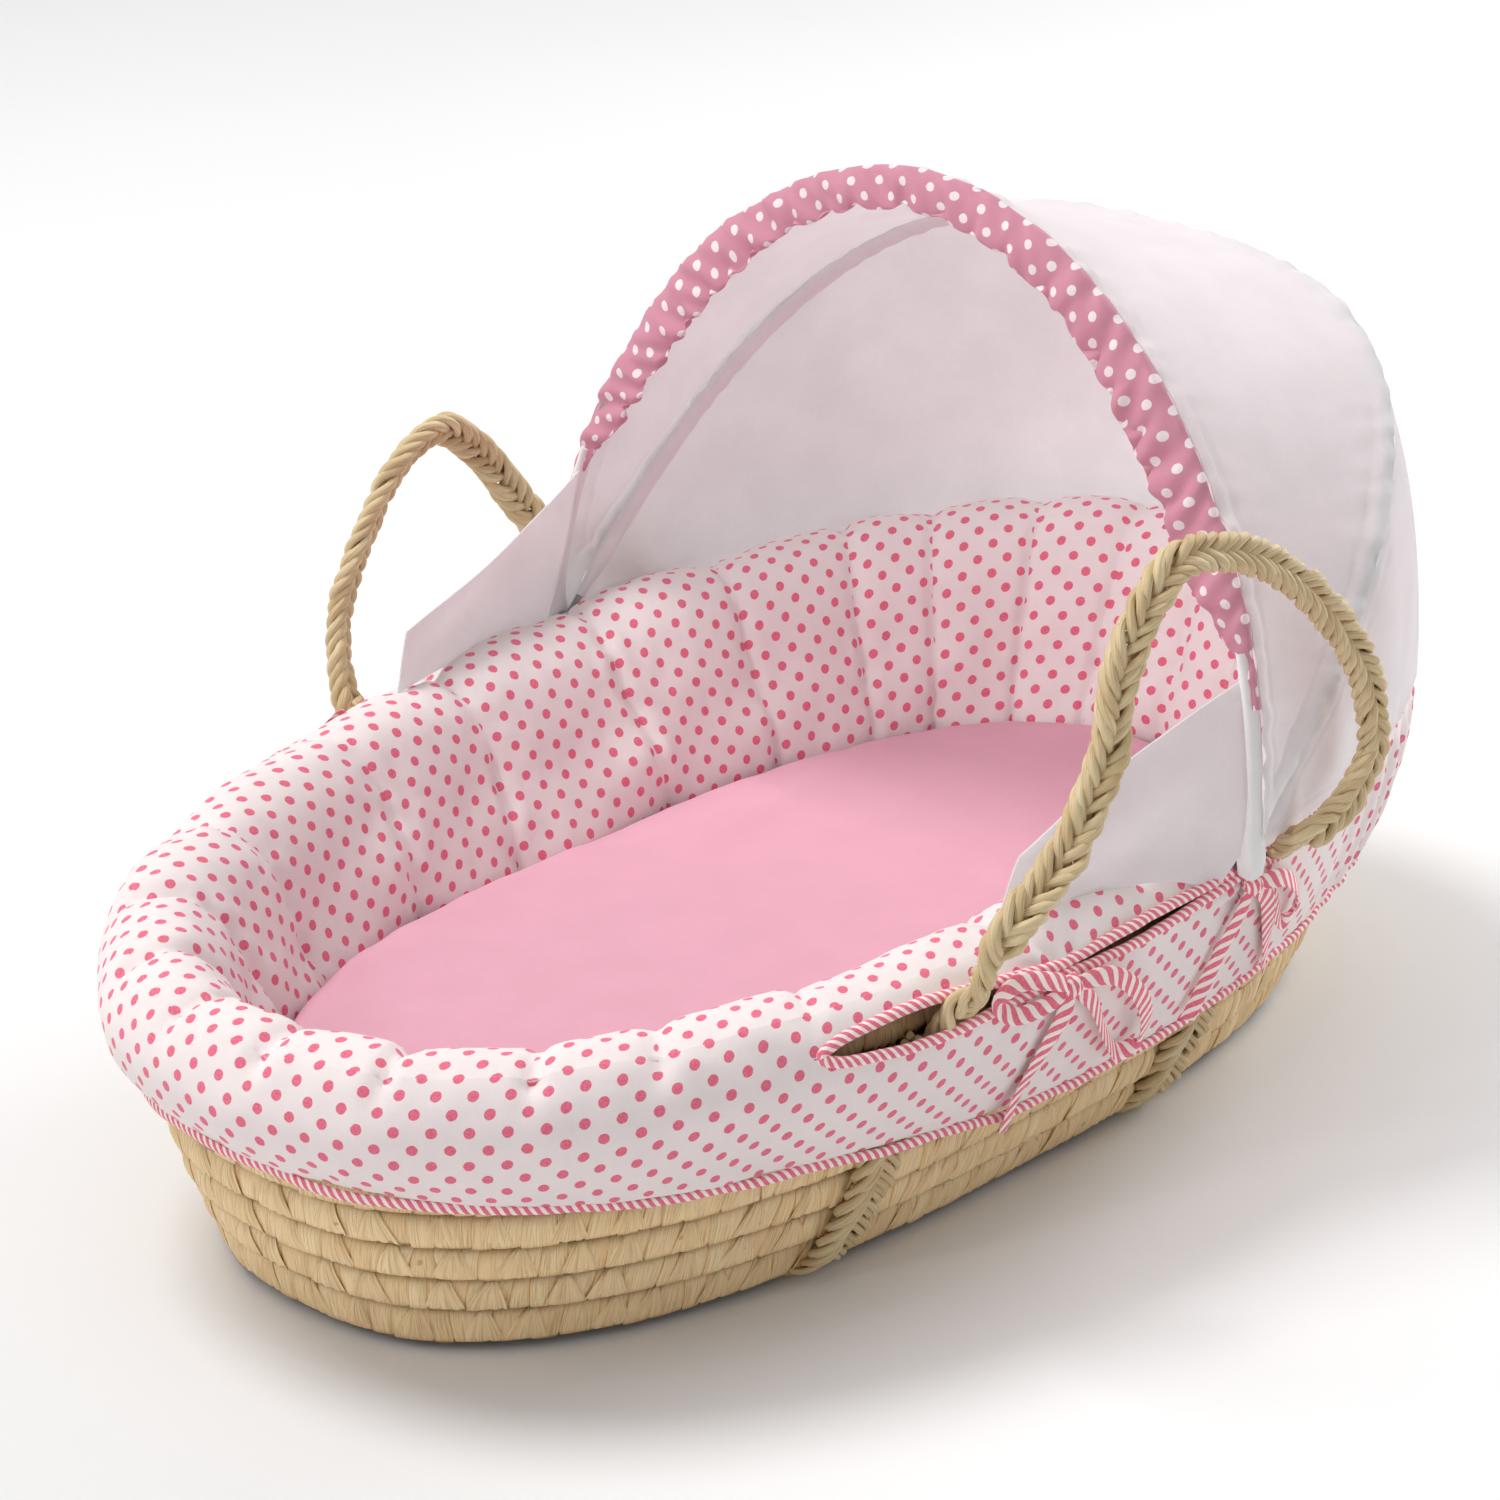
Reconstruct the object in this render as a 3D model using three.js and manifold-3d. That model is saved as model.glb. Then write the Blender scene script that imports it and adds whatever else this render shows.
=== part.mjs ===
// Moses basket: a coiled straw cradle with a padded liner, a mattress and a folding hood.
// Millimetres. +X runs to the head end, +Y to the far side, +Z up. The floor is at z = 0.
import * as THREE from 'three';
import { mergeVertices } from 'three/addons/utils/BufferGeometryUtils.js';
import Module from 'manifold-3d';

const wasm = await Module();
wasm.setup();

// ---- Driving dimensions -------------------------------------------------

const RING_STEPS = 40;
const GAP = 0.4;

// Basket: middle line of the wall at the floor and at the rim.
const BASE_HALF_LENGTH = 348;
const BASE_HALF_WIDTH = 156;
const BASE_SQUARENESS = 2.6;
const RIM_HALF_LENGTH = 388;
const RIM_HALF_WIDTH = 219;
const RIM_SQUARENESS = 2.3;
const RIM_HEIGHT = 165;
const HEAD_RISE = 23;
const LEVEL_HEIGHT = 20;
const FLARE_POWER = 1.7;
const WALL_THICKNESS = 12;
const WALL_TOP = 153;
const BASE_TOP = 16;
const ROLL_RADIUS = 10;

// Carrying braids: two bands under the base and two handles, with feet at these lengths.
const BAND_WIDTH = 22;
const BAND_THICKNESS = 7;
const BAND_FLAT = 4;
const BAND_BOW = 45;
const BAND_CLEARANCE = 1;
const BAND_LEVELS = [14, 40, 65, 90, 125];
const BAND_AT_RIM = [[16.5, -12], [19.5, 1]];
const HANDLE_RADIUS = 8.5;
const HANDLE_PIVOT_Y = 265;
const HANDLE_PIVOT_Z = 182;
const HANDLE_SET_OUT = 6;
const HANDLE_SET_OUT_RISE = 40;
const NEAR_FEET = [-148, 108];
const FAR_FEET = [-101, 132];

// Places along each handle: [length, height above its feet].
const NEAR_ARCH = [
  [NEAR_FEET[0], 0], [-140, 38], [-99, 66], [-70, 106], [-60, 150], [-22, 192],
  [30, 184], [90, 147], [138, 92], [151, 45], [133, 16], [NEAR_FEET[1], 0],
];
const FAR_ARCH = [
  [FAR_FEET[0], 0], [-80, 39], [-57, 86], [-33, 116], [-2, 131], [28, 112],
  [78, 52], [118, 26], [136, 12], [FAR_FEET[1], 0],
];

// Liner: a thick pad inside, rolled over the rim, and a skirt outside with a slit on each side.
const PAD_CLEARANCE = 2;
const PAD_FOOT = 8;
const FLOOR_PAD_THICKNESS = 3;
const PAD_INSIDE = 44;
const PAD_RADIUS = 30;
const PAD_HOLLOW = 13;
const PAD_EDGE_ANGLE = 66;
const SKIRT_TOP_ANGLE = 62;
const SKIRT_THICKNESS = 3;
const HEM_HEIGHT = 80;
const HEM_END_RISE = 26;
const HEM_OUT = 26;
const HEM_OVERLAP = 3.5;
const BINDING_RADIUS = 2.8;
const SLIT_MIDDLE = -20;
const SLIT_HALF_LENGTH = 184;
const SLIT_ANGLE = 30;
const SLIT_HALF_ANGLE = 27;
const TIE_X = [-67, 80];
const TIE_Z = 150;
const TIE_THICKNESS = 3;

// Mattress and its fitted sheet.
const MATTRESS_HALF_LENGTH = 318;
const MATTRESS_HALF_WIDTH = 146;
const MATTRESS_BOTTOM = 24;
const MATTRESS_TOP = 99;
const MATTRESS_EASE = 10;
const SHEET_THICKNESS = 2;
const SHEET_BOTTOM = 30;
const ELASTIC_RADIUS = 1.5;

// Hood: two hoops that turn on one pin at each side.
const PIVOT_X = 72;
const PIVOT_Y = 250;
const PIVOT_Z = 182;
const FRONT_HOOP = { angle: 84, reach: 308, halfWidth: 255, squareness: 1.9 };
const REAR_HOOP = { angle: 46, reach: 331, halfWidth: 246.5, squareness: 2.9 };
const WIRE_RADIUS = 2;
const EYE_RADIUS = 6.5;
const EYE_THICKNESS = 4.2;
const PIN_RADIUS = 2.4;
const PIN_SIDES = 14;
const SLEEVE_RADIUS = 11;
const SLEEVE_START = 92;
const CHANNEL_RADIUS = 4.6;
const CHANNEL_START = 28;
const CHANNEL_EASE = 1.3;
const CANOPY_THICKNESS = 2;
const CANOPY_FRONT_CLEARANCE = 14;
const CANOPY_REAR_CLEARANCE = 10;
const HOOD_HEM_OUT = 4;
const HOOD_HEM_ANGLE = 32;
const HOOD_HEM_TURN = 78;
const WING_TIP = [-82, 217, 203];
const WING_CORNER = [-48, 223, 240];
const BRACKET_THICKNESS = 2.5;
const BRACKET_WIDTH = 15;
const BRACKET_INSET = 9.5;
const COLLAR_RADIUS = 4;
const RIVET_HEAD = { radius: 5.5, crown: 4.5, height: 3, shoulder: 2 };

// ---- Materials ----------------------------------------------------------

const straw = { color: 0xdec496, roughness: 0.75, metalness: 0 };
const dottedCotton = { color: 0xf5ebea, roughness: 0.9, metalness: 0 };
const stripedBinding = { color: 0xf0a9b8, roughness: 0.85, metalness: 0 };
const pinkCotton = { color: 0xe196b4, roughness: 0.9, metalness: 0 };
const dottedPink = { color: 0xdc8ca5, roughness: 0.9, metalness: 0 };
const whiteCotton = { color: 0xf4f3f2, roughness: 0.9, metalness: 0 };
const foam = { color: 0xf2ecd8, roughness: 1, metalness: 0 };
const elastic = { color: 0xfafafa, roughness: 0.8, metalness: 0 };
const springWire = { color: 0xb8bcc0, roughness: 0.35, metalness: 1 };
const whitePlastic = { color: 0xf2f2f0, roughness: 0.5, metalness: 0 };

// ---- Points of the basket ------------------------------------------------

const radians = THREE.MathUtils.degToRad;
const lerp = THREE.MathUtils.lerp;

function range(count) {
  return Array.from({ length: count }, (_, i) => i);
}

// A value from 0 to 1 that starts and ends level.
function smooth(value) {
  return THREE.MathUtils.smoothstep(value, 0, 1);
}

// A point of a rounded oval in plan; turn 0 is the head end.
function ovalPoint(halfLength, halfWidth, squareness, turn) {
  const bend = (value) => Math.sign(value) * Math.abs(value) ** (2 / squareness);
  return [halfLength * bend(Math.cos(turn)), halfWidth * bend(Math.sin(turn))];
}

// How far the wall has opened between the floor, 0, and the rim, 1.
function flare(height) {
  const left = Math.min(1, Math.max(0, 1 - height / RIM_HEIGHT));
  return 1 - left ** FLARE_POWER;
}

// The basket stands higher at the head end, from a little above its base upwards.
function risen(height, x) {
  const share = (height - LEVEL_HEIGHT) / (RIM_HEIGHT - LEVEL_HEIGHT);
  return height + HEAD_RISE * Math.max(0, share) * (x / RIM_HALF_LENGTH);
}

// A point beside the wall: out from its middle line, at a height measured at mid-length.
function wallPoint(out, height, turn) {
  const open = flare(height);
  const [x, y] = ovalPoint(
    lerp(BASE_HALF_LENGTH, RIM_HALF_LENGTH, open) + out,
    lerp(BASE_HALF_WIDTH, RIM_HALF_WIDTH, open) + out,
    lerp(BASE_SQUARENESS, RIM_SQUARENESS, open),
    turn,
  );
  return new THREE.Vector3(x, y, risen(height, x));
}

// A point around the rim's own centre line: angle 0 faces outwards and 90 faces up.
function rimPoint(radius, angle, turn) {
  const out = radius * Math.cos(radians(angle));
  const up = radius * Math.sin(radians(angle));
  const [x, y] = ovalPoint(RIM_HALF_LENGTH + out, RIM_HALF_WIDTH + out, RIM_SQUARENESS, turn);
  return new THREE.Vector3(x, y, risen(RIM_HEIGHT, x) + up);
}

// The rim's half width and height at a length along the basket.
function rimAt(x) {
  const share = Math.abs(x / RIM_HALF_LENGTH) ** RIM_SQUARENESS;
  return { halfWidth: RIM_HALF_WIDTH * (1 - share) ** (1 / RIM_SQUARENESS), height: risen(RIM_HEIGHT, x) };
}

// ---- Bodies from points --------------------------------------------------

function bodyFrom(points, triangles) {
  const geometry = new THREE.BufferGeometry().setFromPoints(points);
  geometry.setIndex(triangles);
  return geometry;
}

function quad(a, b, c, d) {
  return [a, b, c, a, c, d];
}

// Skins a run of rings. The run joins its own start, or has a flat fan over each end.
function skin(rings, joined) {
  const size = rings[0].length;
  const points = rings.flat();
  const triangles = [];
  const last = joined ? rings.length : rings.length - 1;
  for (let i = 0; i < last; i += 1) {
    const here = i * size;
    const next = ((i + 1) % rings.length) * size;
    for (let j = 0; j < size; j += 1) {
      const k = (j + 1) % size;
      triangles.push(...quad(here + j, here + k, next + k, next + j));
    }
  }
  if (!joined) {
    for (const [ring, flip] of [[0, true], [rings.length - 1, false]]) {
      const middle = rings[ring].reduce((sum, p) => sum.add(p), new THREE.Vector3()).divideScalar(size);
      points.push(middle);
      for (let j = 0; j < size; j += 1) {
        const pair = [ring * size + j, ring * size + ((j + 1) % size)];
        triangles.push(points.length - 1, ...(flip ? pair.reverse() : pair));
      }
    }
  }
  return outward(bodyFrom(points, triangles));
}

// Turns every face over when the body is inside out.
function outward(geometry) {
  const at = geometry.getAttribute('position');
  const index = geometry.getIndex();
  const corner = (k) => new THREE.Vector3().fromBufferAttribute(at, index.getX(k));
  let volume = 0;
  for (let k = 0; k < index.count; k += 3) {
    volume += corner(k).dot(corner(k + 1).cross(corner(k + 2)));
  }
  if (volume < 0) geometry.setIndex([...index.array].reverse());
  return geometry;
}

// A closed band all round the basket, from one section outline given as functions of the turn.
function ringBody(section) {
  const rings = range(RING_STEPS).map((i) => {
    const turn = (2 * Math.PI * i) / RING_STEPS;
    return section.map((place) => place(turn));
  });
  return skin(rings, true);
}

// A solid oval block, from its outline at each level.
function blockBody(levels) {
  const rings = levels.map((place) => range(RING_STEPS).map((i) => place((2 * Math.PI * i) / RING_STEPS)));
  return skin(rings, false);
}

// A sheet of even thickness over a grid of points.
function sheetBody(grid, thickness) {
  const rows = grid.length;
  const columns = grid[0].length;
  const near = [];
  const far = [];
  grid.forEach((row, i) => row.forEach((point, j) => {
    const along = grid[Math.min(i + 1, rows - 1)][j].clone().sub(grid[Math.max(i - 1, 0)][j]);
    const across = row[Math.min(j + 1, columns - 1)].clone().sub(row[Math.max(j - 1, 0)]);
    const normal = along.cross(across).setLength(thickness / 2);
    near.push(point.clone().add(normal));
    far.push(point.clone().sub(normal));
  }));
  const at = (i, j) => i * columns + j;
  const back = rows * columns;
  const triangles = [];
  for (let i = 0; i < rows - 1; i += 1) {
    for (let j = 0; j < columns - 1; j += 1) {
      const face = [at(i, j), at(i, j + 1), at(i + 1, j + 1), at(i + 1, j)];
      triangles.push(...quad(...face));
      triangles.push(...quad(...face.map((k) => k + back).reverse()));
    }
  }
  const edge = [
    ...range(columns - 1).map((j) => at(0, j)),
    ...range(rows - 1).map((i) => at(i, columns - 1)),
    ...range(columns - 1).map((j) => at(rows - 1, columns - 1 - j)),
    ...range(rows - 1).map((i) => at(rows - 1 - i, 0)),
  ];
  edge.forEach((from, k) => {
    const to = edge[(k + 1) % edge.length];
    triangles.push(...quad(from, from + back, to + back, to));
  });
  return outward(bodyFrom([...near, ...far], triangles));
}

function circleShape(radius, sides, holeRadius = 0, holeSides = sides) {
  const around = (r, count) => range(count).map((i) => {
    const angle = (2 * Math.PI * i) / count;
    return new THREE.Vector2(r * Math.cos(angle), r * Math.sin(angle));
  });
  const shape = new THREE.Shape(around(radius, sides));
  if (holeRadius > 0) shape.holes.push(new THREE.Path(around(holeRadius, holeSides)));
  return shape;
}

function alongPath(shape, path, steps) {
  return new THREE.ExtrudeGeometry(shape, { steps, extrudePath: path, curveSegments: 1 });
}

// ---- Joining and cutting ---------------------------------------------------

function toManifold(geometry) {
  const bare = geometry.clone();
  bare.deleteAttribute('normal');
  bare.deleteAttribute('uv');
  const merged = mergeVertices(bare, 1e-3);
  return new wasm.Manifold(new wasm.Mesh({
    numProp: 3,
    vertProperties: new Float32Array(merged.getAttribute('position').array),
    triVerts: new Uint32Array(merged.getIndex().array),
  }));
}

function fromManifold(solid) {
  const mesh = solid.getMesh();
  const geometry = new THREE.BufferGeometry();
  geometry.setAttribute('position', new THREE.BufferAttribute(new Float32Array(mesh.vertProperties), 3));
  geometry.setIndex([...mesh.triVerts]);
  return geometry;
}

function joined(...geometries) {
  return fromManifold(geometries.map(toManifold).reduce((sum, next) => sum.add(next)));
}

function cut(geometry, ...tools) {
  const whole = toManifold(geometry);
  return fromManifold(tools.map(toManifold).reduce((rest, tool) => rest.subtract(tool), whole));
}

// ---- Group -----------------------------------------------------------------

const basket = new THREE.Group();

function addPart(name, geometry, finish, group = basket) {
  const mesh = new THREE.Mesh(geometry, new THREE.MeshStandardMaterial(finish));
  mesh.name = name;
  group.add(mesh);
  return mesh;
}

// ---- Basket ------------------------------------------------------------------

const HALF_WALL = WALL_THICKNESS / 2;
const BASE_BOTTOM = BAND_FLAT + GAP;
const WALL_LEVELS = [40, 90];

// A flat oval slab inside the foot of the wall.
function floorSlab(inset, bottom, top) {
  const level = (height) => (turn) => {
    const [x, y] = ovalPoint(BASE_HALF_LENGTH - inset, BASE_HALF_WIDTH - inset, BASE_SQUARENESS, turn);
    return new THREE.Vector3(x, y, height);
  };
  return blockBody([level(bottom), level(top)]);
}

function basketBase() {
  return floorSlab(HALF_WALL + GAP, BASE_BOTTOM, BASE_TOP);
}

function basketWall() {
  const heights = [BASE_BOTTOM, ...WALL_LEVELS, WALL_TOP];
  const outside = heights.map((height) => (turn) => wallPoint(HALF_WALL, height, turn));
  const inside = heights.map((height) => (turn) => wallPoint(-HALF_WALL, height, turn));
  return ringBody([...outside, ...inside.reverse()]);
}

function basketRim() {
  const sides = 8;
  const faces = range(sides).map((i) => (360 * (i + 0.5)) / sides);
  return ringBody(faces.map((angle) => (turn) => rimPoint(ROLL_RADIUS, angle, turn)));
}

// The wall's half width at a height and a length along the basket.
function wallHalfWidth(height, x) {
  const open = flare(height);
  const squareness = lerp(BASE_SQUARENESS, RIM_SQUARENESS, open);
  const share = Math.abs(x / lerp(BASE_HALF_LENGTH, RIM_HALF_LENGTH, open)) ** squareness;
  return lerp(BASE_HALF_WIDTH, RIM_HALF_WIDTH, open) * (1 - share) ** (1 / squareness);
}

// Length at which a band lies at a sideways place: it bows towards the foot under the base.
function bandLength(feet, y) {
  const share = Math.abs(y) / HANDLE_PIVOT_Y;
  return lerp(feet[0], feet[1], 0.5 + y / (2 * HANDLE_PIVOT_Y)) - BAND_BOW * (1 - share);
}

// How far out the wall is beside a band, allowing for the band's width.
function wallBesideBand(feet, side, height) {
  let y = BASE_HALF_WIDTH;
  for (let pass = 0; pass < 4; pass += 1) {
    const inner = Math.max(0, Math.abs(bandLength(feet, side * y)) - BAND_WIDTH / 2);
    y = wallHalfWidth(height, inner);
  }
  return y;
}

// Stations of half a band, from under the base up to the rim.
function halfBand(feet, side) {
  const rim = rimAt(side < 0 ? feet[0] : feet[1]);
  const wallFoot = wallBesideBand(feet, side, BASE_BOTTOM) + HALF_WALL + BAND_CLEARANCE;
  const flat = [BASE_HALF_WIDTH / 2, wallFoot].map((y) => [y, BAND_FLAT / 2, BAND_FLAT]);
  const onWall = BAND_LEVELS.map((height) => [
    wallBesideBand(feet, side, height) + HALF_WALL + BAND_CLEARANCE + BAND_THICKNESS / 2,
    risen(height, bandLength(feet, side * RIM_HALF_WIDTH)),
    BAND_THICKNESS,
  ]);
  const atRim = BAND_AT_RIM.map(([out, up]) => [rim.halfWidth + out, rim.height + up, BAND_THICKNESS]);
  return [...flat, ...onWall, ...atRim].map(([y, z, thickness]) => ({ y: side * y, z, thickness }));
}

// A flat braid from the slit on one side, down the wall, under the base and up the other side.
function carryingBand(...feet) {
  const middle = { y: 0, z: BAND_FLAT / 2, thickness: BAND_FLAT };
  const stations = [...halfBand(feet, -1).reverse(), middle, ...halfBand(feet, 1)];
  const wide = new THREE.Vector3(BAND_WIDTH / 2, 0, 0);
  const rings = stations.map(({ y, z, thickness }, i) => {
    const before = stations[Math.max(i - 1, 0)];
    const after = stations[Math.min(i + 1, stations.length - 1)];
    const onFloor = z === BAND_FLAT / 2;
    const across = onFloor
      ? new THREE.Vector3(0, 0, thickness / 2)
      : new THREE.Vector3(0, before.z - after.z, after.y - before.y).setLength(thickness / 2);
    const centre = new THREE.Vector3(bandLength(feet, y), y, z);
    const corner = (a, b) => centre.clone().addScaledVector(wide, a).addScaledVector(across, b);
    return [corner(-1, -1), corner(1, -1), corner(1, 1), corner(-1, 1)];
  });
  return skin(rings, false);
}

function handle(arch, side) {
  const points = arch.map(([x, up]) => {
    const out = HANDLE_PIVOT_Y + HANDLE_SET_OUT * smooth(up / HANDLE_SET_OUT_RISE);
    return new THREE.Vector3(x, side * out, HANDLE_PIVOT_Z + up);
  });
  const path = new THREE.CatmullRomCurve3(points);
  return alongPath(circleShape(HANDLE_RADIUS, 8), path, 30);
}

// ---- Liner ---------------------------------------------------------------------

const FLOOR_PAD_TOP = BASE_TOP + GAP + FLOOR_PAD_THICKNESS;

function linerFloor() {
  return floorSlab(HALF_WALL + PAD_CLEARANCE, BASE_TOP + GAP, FLOOR_PAD_TOP);
}

// The pad: up the inside of the wall, over the rim and part of the way down outside.
function linerBumper() {
  const against = HALF_WALL + PAD_CLEARANCE;
  const bottom = FLOOR_PAD_TOP + 1;
  const back = [bottom, ...WALL_LEVELS, 140].map((height) => (turn) => wallPoint(-against, height, turn));
  const hollow = [180, 120, PAD_EDGE_ANGLE].map((angle) => (turn) => rimPoint(PAD_HOLLOW, angle, turn));
  const roll = [PAD_EDGE_ANGLE, 95, 130, 170].map((angle) => (turn) => rimPoint(PAD_RADIUS, angle, turn));
  const front = [120, 95].map((height) => (turn) => wallPoint(-PAD_INSIDE, height, turn));
  const foot = (turn) => wallPoint(-against - PAD_FOOT, bottom, turn);
  return ringBody([...back, ...hollow, ...roll, ...front, foot]);
}

// Height of the skirt's lower edge: it lifts towards both ends.
function hemHeight(x) {
  return HEM_HEIGHT + HEM_END_RISE * (x / RIM_HALF_LENGTH) ** 2;
}

function hemPoint(out, up, turn) {
  const first = wallPoint(out, HEM_HEIGHT, turn);
  return first.setZ(risen(hemHeight(first.x), first.x) + up);
}

// Cuts the skirt back to just below the lower binding of one slit, with eased corners.
function slitCutter(side) {
  const margin = 2 * BINDING_RADIUS;
  const [easeLength, easeHeight] = [14, 8];
  const left = SLIT_MIDDLE - SLIT_HALF_LENGTH - margin;
  const right = SLIT_MIDDLE + SLIT_HALF_LENGTH + margin;
  const lowLip = PAD_RADIUS * Math.sin(radians(SLIT_ANGLE - SLIT_HALF_ANGLE)) - margin;
  const top = rimAt(right).height + 2 * PAD_RADIUS;
  const shape = new THREE.Shape([
    new THREE.Vector2(left, top),
    new THREE.Vector2(left, rimAt(left).height + lowLip + easeHeight),
    new THREE.Vector2(left + easeLength, rimAt(left).height + lowLip),
    new THREE.Vector2(right - easeLength, rimAt(right).height + lowLip),
    new THREE.Vector2(right, rimAt(right).height + lowLip + easeHeight),
    new THREE.Vector2(right, top),
  ]);
  const [reachOut, reachIn] = [RIM_HALF_WIDTH + 4 * PAD_RADIUS / 3, RIM_HALF_WIDTH - 2 * PAD_RADIUS / 3];
  const tool = new THREE.ExtrudeGeometry(shape, { depth: reachOut - reachIn, bevelEnabled: false });
  tool.rotateX(Math.PI / 2);
  tool.translate(0, side > 0 ? reachOut : -reachIn, 0);
  return tool;
}

function linerSkirt() {
  const angles = [SKIRT_TOP_ANGLE, 25, -10];
  const roll = (radius) => angles.map((angle) => (turn) => rimPoint(radius, angle, turn));
  const lower = (out) => (turn) => hemPoint(out, HEM_OVERLAP, turn);
  const inner = PAD_RADIUS - SKIRT_THICKNESS;
  const skirt = ringBody([
    ...roll(PAD_RADIUS),
    lower(HEM_OUT),
    lower(HEM_OUT - SKIRT_THICKNESS),
    ...roll(inner).reverse(),
  ]);
  return cut(skirt, slitCutter(-1), slitCutter(1));
}

function hemBinding() {
  const corners = [45, 135, 225, 315].map((angle) => radians(angle));
  return ringBody(corners.map((angle) => (turn) => hemPoint(
    HEM_OUT - SKIRT_THICKNESS / 2 + BINDING_RADIUS * Math.cos(angle),
    BINDING_RADIUS * Math.sin(angle),
    turn,
  )));
}

// A rounded binding on both lips of one slit, all the way round it.
function slitBinding(side) {
  const steps = 28;
  const sides = 5;
  const points = range(steps).map((i) => {
    const around = (2 * Math.PI * i) / steps;
    const [along, rise] = ovalPoint(SLIT_HALF_LENGTH, SLIT_HALF_ANGLE, 3, around);
    const x = SLIT_MIDDLE + along;
    const angle = radians(SLIT_ANGLE + rise);
    const rim = rimAt(x);
    const y = rim.halfWidth + PAD_RADIUS * Math.cos(angle);
    return new THREE.Vector3(x, side * y, rim.height + PAD_RADIUS * Math.sin(angle));
  });
  const facing = radians(SLIT_ANGLE);
  const outwards = new THREE.Vector3(0, side * Math.cos(facing), Math.sin(facing));
  const rings = points.map((point, i) => {
    const before = points[(i + steps - 1) % steps];
    const after = points[(i + 1) % steps];
    const ahead = after.clone().sub(before).normalize();
    const sideways = ahead.clone().cross(outwards).setLength(BINDING_RADIUS);
    const upwards = sideways.clone().cross(ahead).setLength(BINDING_RADIUS);
    return range(sides).map((k) => {
      const turn = (2 * Math.PI * k) / sides;
      const place = point.clone().addScaledVector(sideways, Math.cos(turn));
      return place.addScaledVector(upwards, Math.sin(turn));
    });
  });
  return skin(rings, true);
}

// Outline of half a bow, from the top of its knot: [length, height] from the knot's middle.
const HALF_BOW = [
  [0, 9], [8, 7], [24, 12], [42, 2], [45, -12], [30, -13], [8, -7],
  [18, -40], [24, -66], [12, -69], [6, -40], [0, -14],
];

// A ribbon tied in a bow that closes the slit: a knot, two drooping loops and two tails.
function tieBow(side, x) {
  const right = HALF_BOW.map(([dx, dz]) => new THREE.Vector2(dx, dz));
  const left = HALF_BOW.slice(1, -1).reverse().map(([dx, dz]) => new THREE.Vector2(-dx, dz));
  const bow = new THREE.ExtrudeGeometry(new THREE.Shape([...right, ...left]), {
    depth: TIE_THICKNESS,
    bevelEnabled: false,
  });
  bow.rotateX(Math.PI / 2);
  const inner = RIM_HALF_WIDTH + PAD_RADIUS + BINDING_RADIUS + GAP / 2;
  bow.translate(x, side > 0 ? inner + TIE_THICKNESS : -inner, TIE_Z);
  return bow;
}

// ---- Mattress ---------------------------------------------------------------------

// A level of the mattress, or of something round it, out from its side.
function mattressLevel(out, height) {
  return (turn) => {
    const [x, y] = ovalPoint(MATTRESS_HALF_LENGTH + out, MATTRESS_HALF_WIDTH + out, BASE_SQUARENESS, turn);
    return new THREE.Vector3(x, y, height);
  };
}

function mattressCore() {
  return blockBody([
    mattressLevel(0, MATTRESS_BOTTOM),
    mattressLevel(0, MATTRESS_TOP - MATTRESS_EASE),
    mattressLevel(-MATTRESS_EASE, MATTRESS_TOP),
  ]);
}

// The sheet over the top and down the sides, open underneath.
function fittedSheet() {
  const covering = (out, bottom) => {
    const ease = MATTRESS_EASE - out / 2;
    return blockBody([
      mattressLevel(out, bottom),
      mattressLevel(out, MATTRESS_TOP - ease),
      mattressLevel(-ease, MATTRESS_TOP + out),
    ]);
  };
  return cut(covering(GAP + SHEET_THICKNESS, SHEET_BOTTOM), covering(GAP, SHEET_BOTTOM - 1));
}

function sheetElastic() {
  const out = 2 * GAP + ELASTIC_RADIUS;
  const height = SHEET_BOTTOM - 2 * GAP - ELASTIC_RADIUS;
  return ringBody([
    mattressLevel(out + ELASTIC_RADIUS, height),
    mattressLevel(out, height + ELASTIC_RADIUS),
    mattressLevel(out - ELASTIC_RADIUS, height),
    mattressLevel(out, height - ELASTIC_RADIUS),
  ]);
}

// ---- Hood ----------------------------------------------------------------------------

// A point of a hoop; turn 0 is its near foot and 180 its far foot.
function hoopPoint(hoop, turn) {
  const [across, up] = ovalPoint(hoop.halfWidth, hoop.reach, hoop.squareness, radians(turn));
  const angle = radians(hoop.angle);
  return new THREE.Vector3(PIVOT_X + up * Math.cos(angle), -across, PIVOT_Z + up * Math.sin(angle));
}

// The turn at which a hoop has risen this far above its feet, in its own plane.
function turnAt(hoop, up) {
  return THREE.MathUtils.radToDeg(Math.asin((up / hoop.reach) ** (hoop.squareness / 2)));
}

class HoopCurve extends THREE.Curve {
  constructor(hoop, fromTurn, toTurn) {
    super();
    this.hoop = hoop;
    this.from = fromTurn;
    this.to = toTurn;
  }

  getPoint(t, target = new THREE.Vector3()) {
    return target.copy(hoopPoint(this.hoop, lerp(this.from, this.to, t)));
  }
}

// A flat ring round the pin, in the plane y = 0.
function eyeRing(y) {
  const eye = new THREE.ExtrudeGeometry(circleShape(EYE_RADIUS, PIN_SIDES, PIN_RADIUS + GAP), {
    depth: EYE_THICKNESS,
    bevelEnabled: false,
  });
  eye.rotateX(Math.PI / 2);
  eye.translate(PIVOT_X, y + EYE_THICKNESS / 2, PIVOT_Z);
  return eye;
}

// A sprung wire hoop with a flat eye at each foot.
function wireHoop(hoop) {
  const start = turnAt(hoop, (EYE_RADIUS + PIN_RADIUS) / 2);
  const path = new HoopCurve(hoop, start, 180 - start);
  const wire = alongPath(circleShape(WIRE_RADIUS, 6), path, 32);
  return joined(wire, eyeRing(-hoop.halfWidth), eyeRing(hoop.halfWidth));
}

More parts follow.
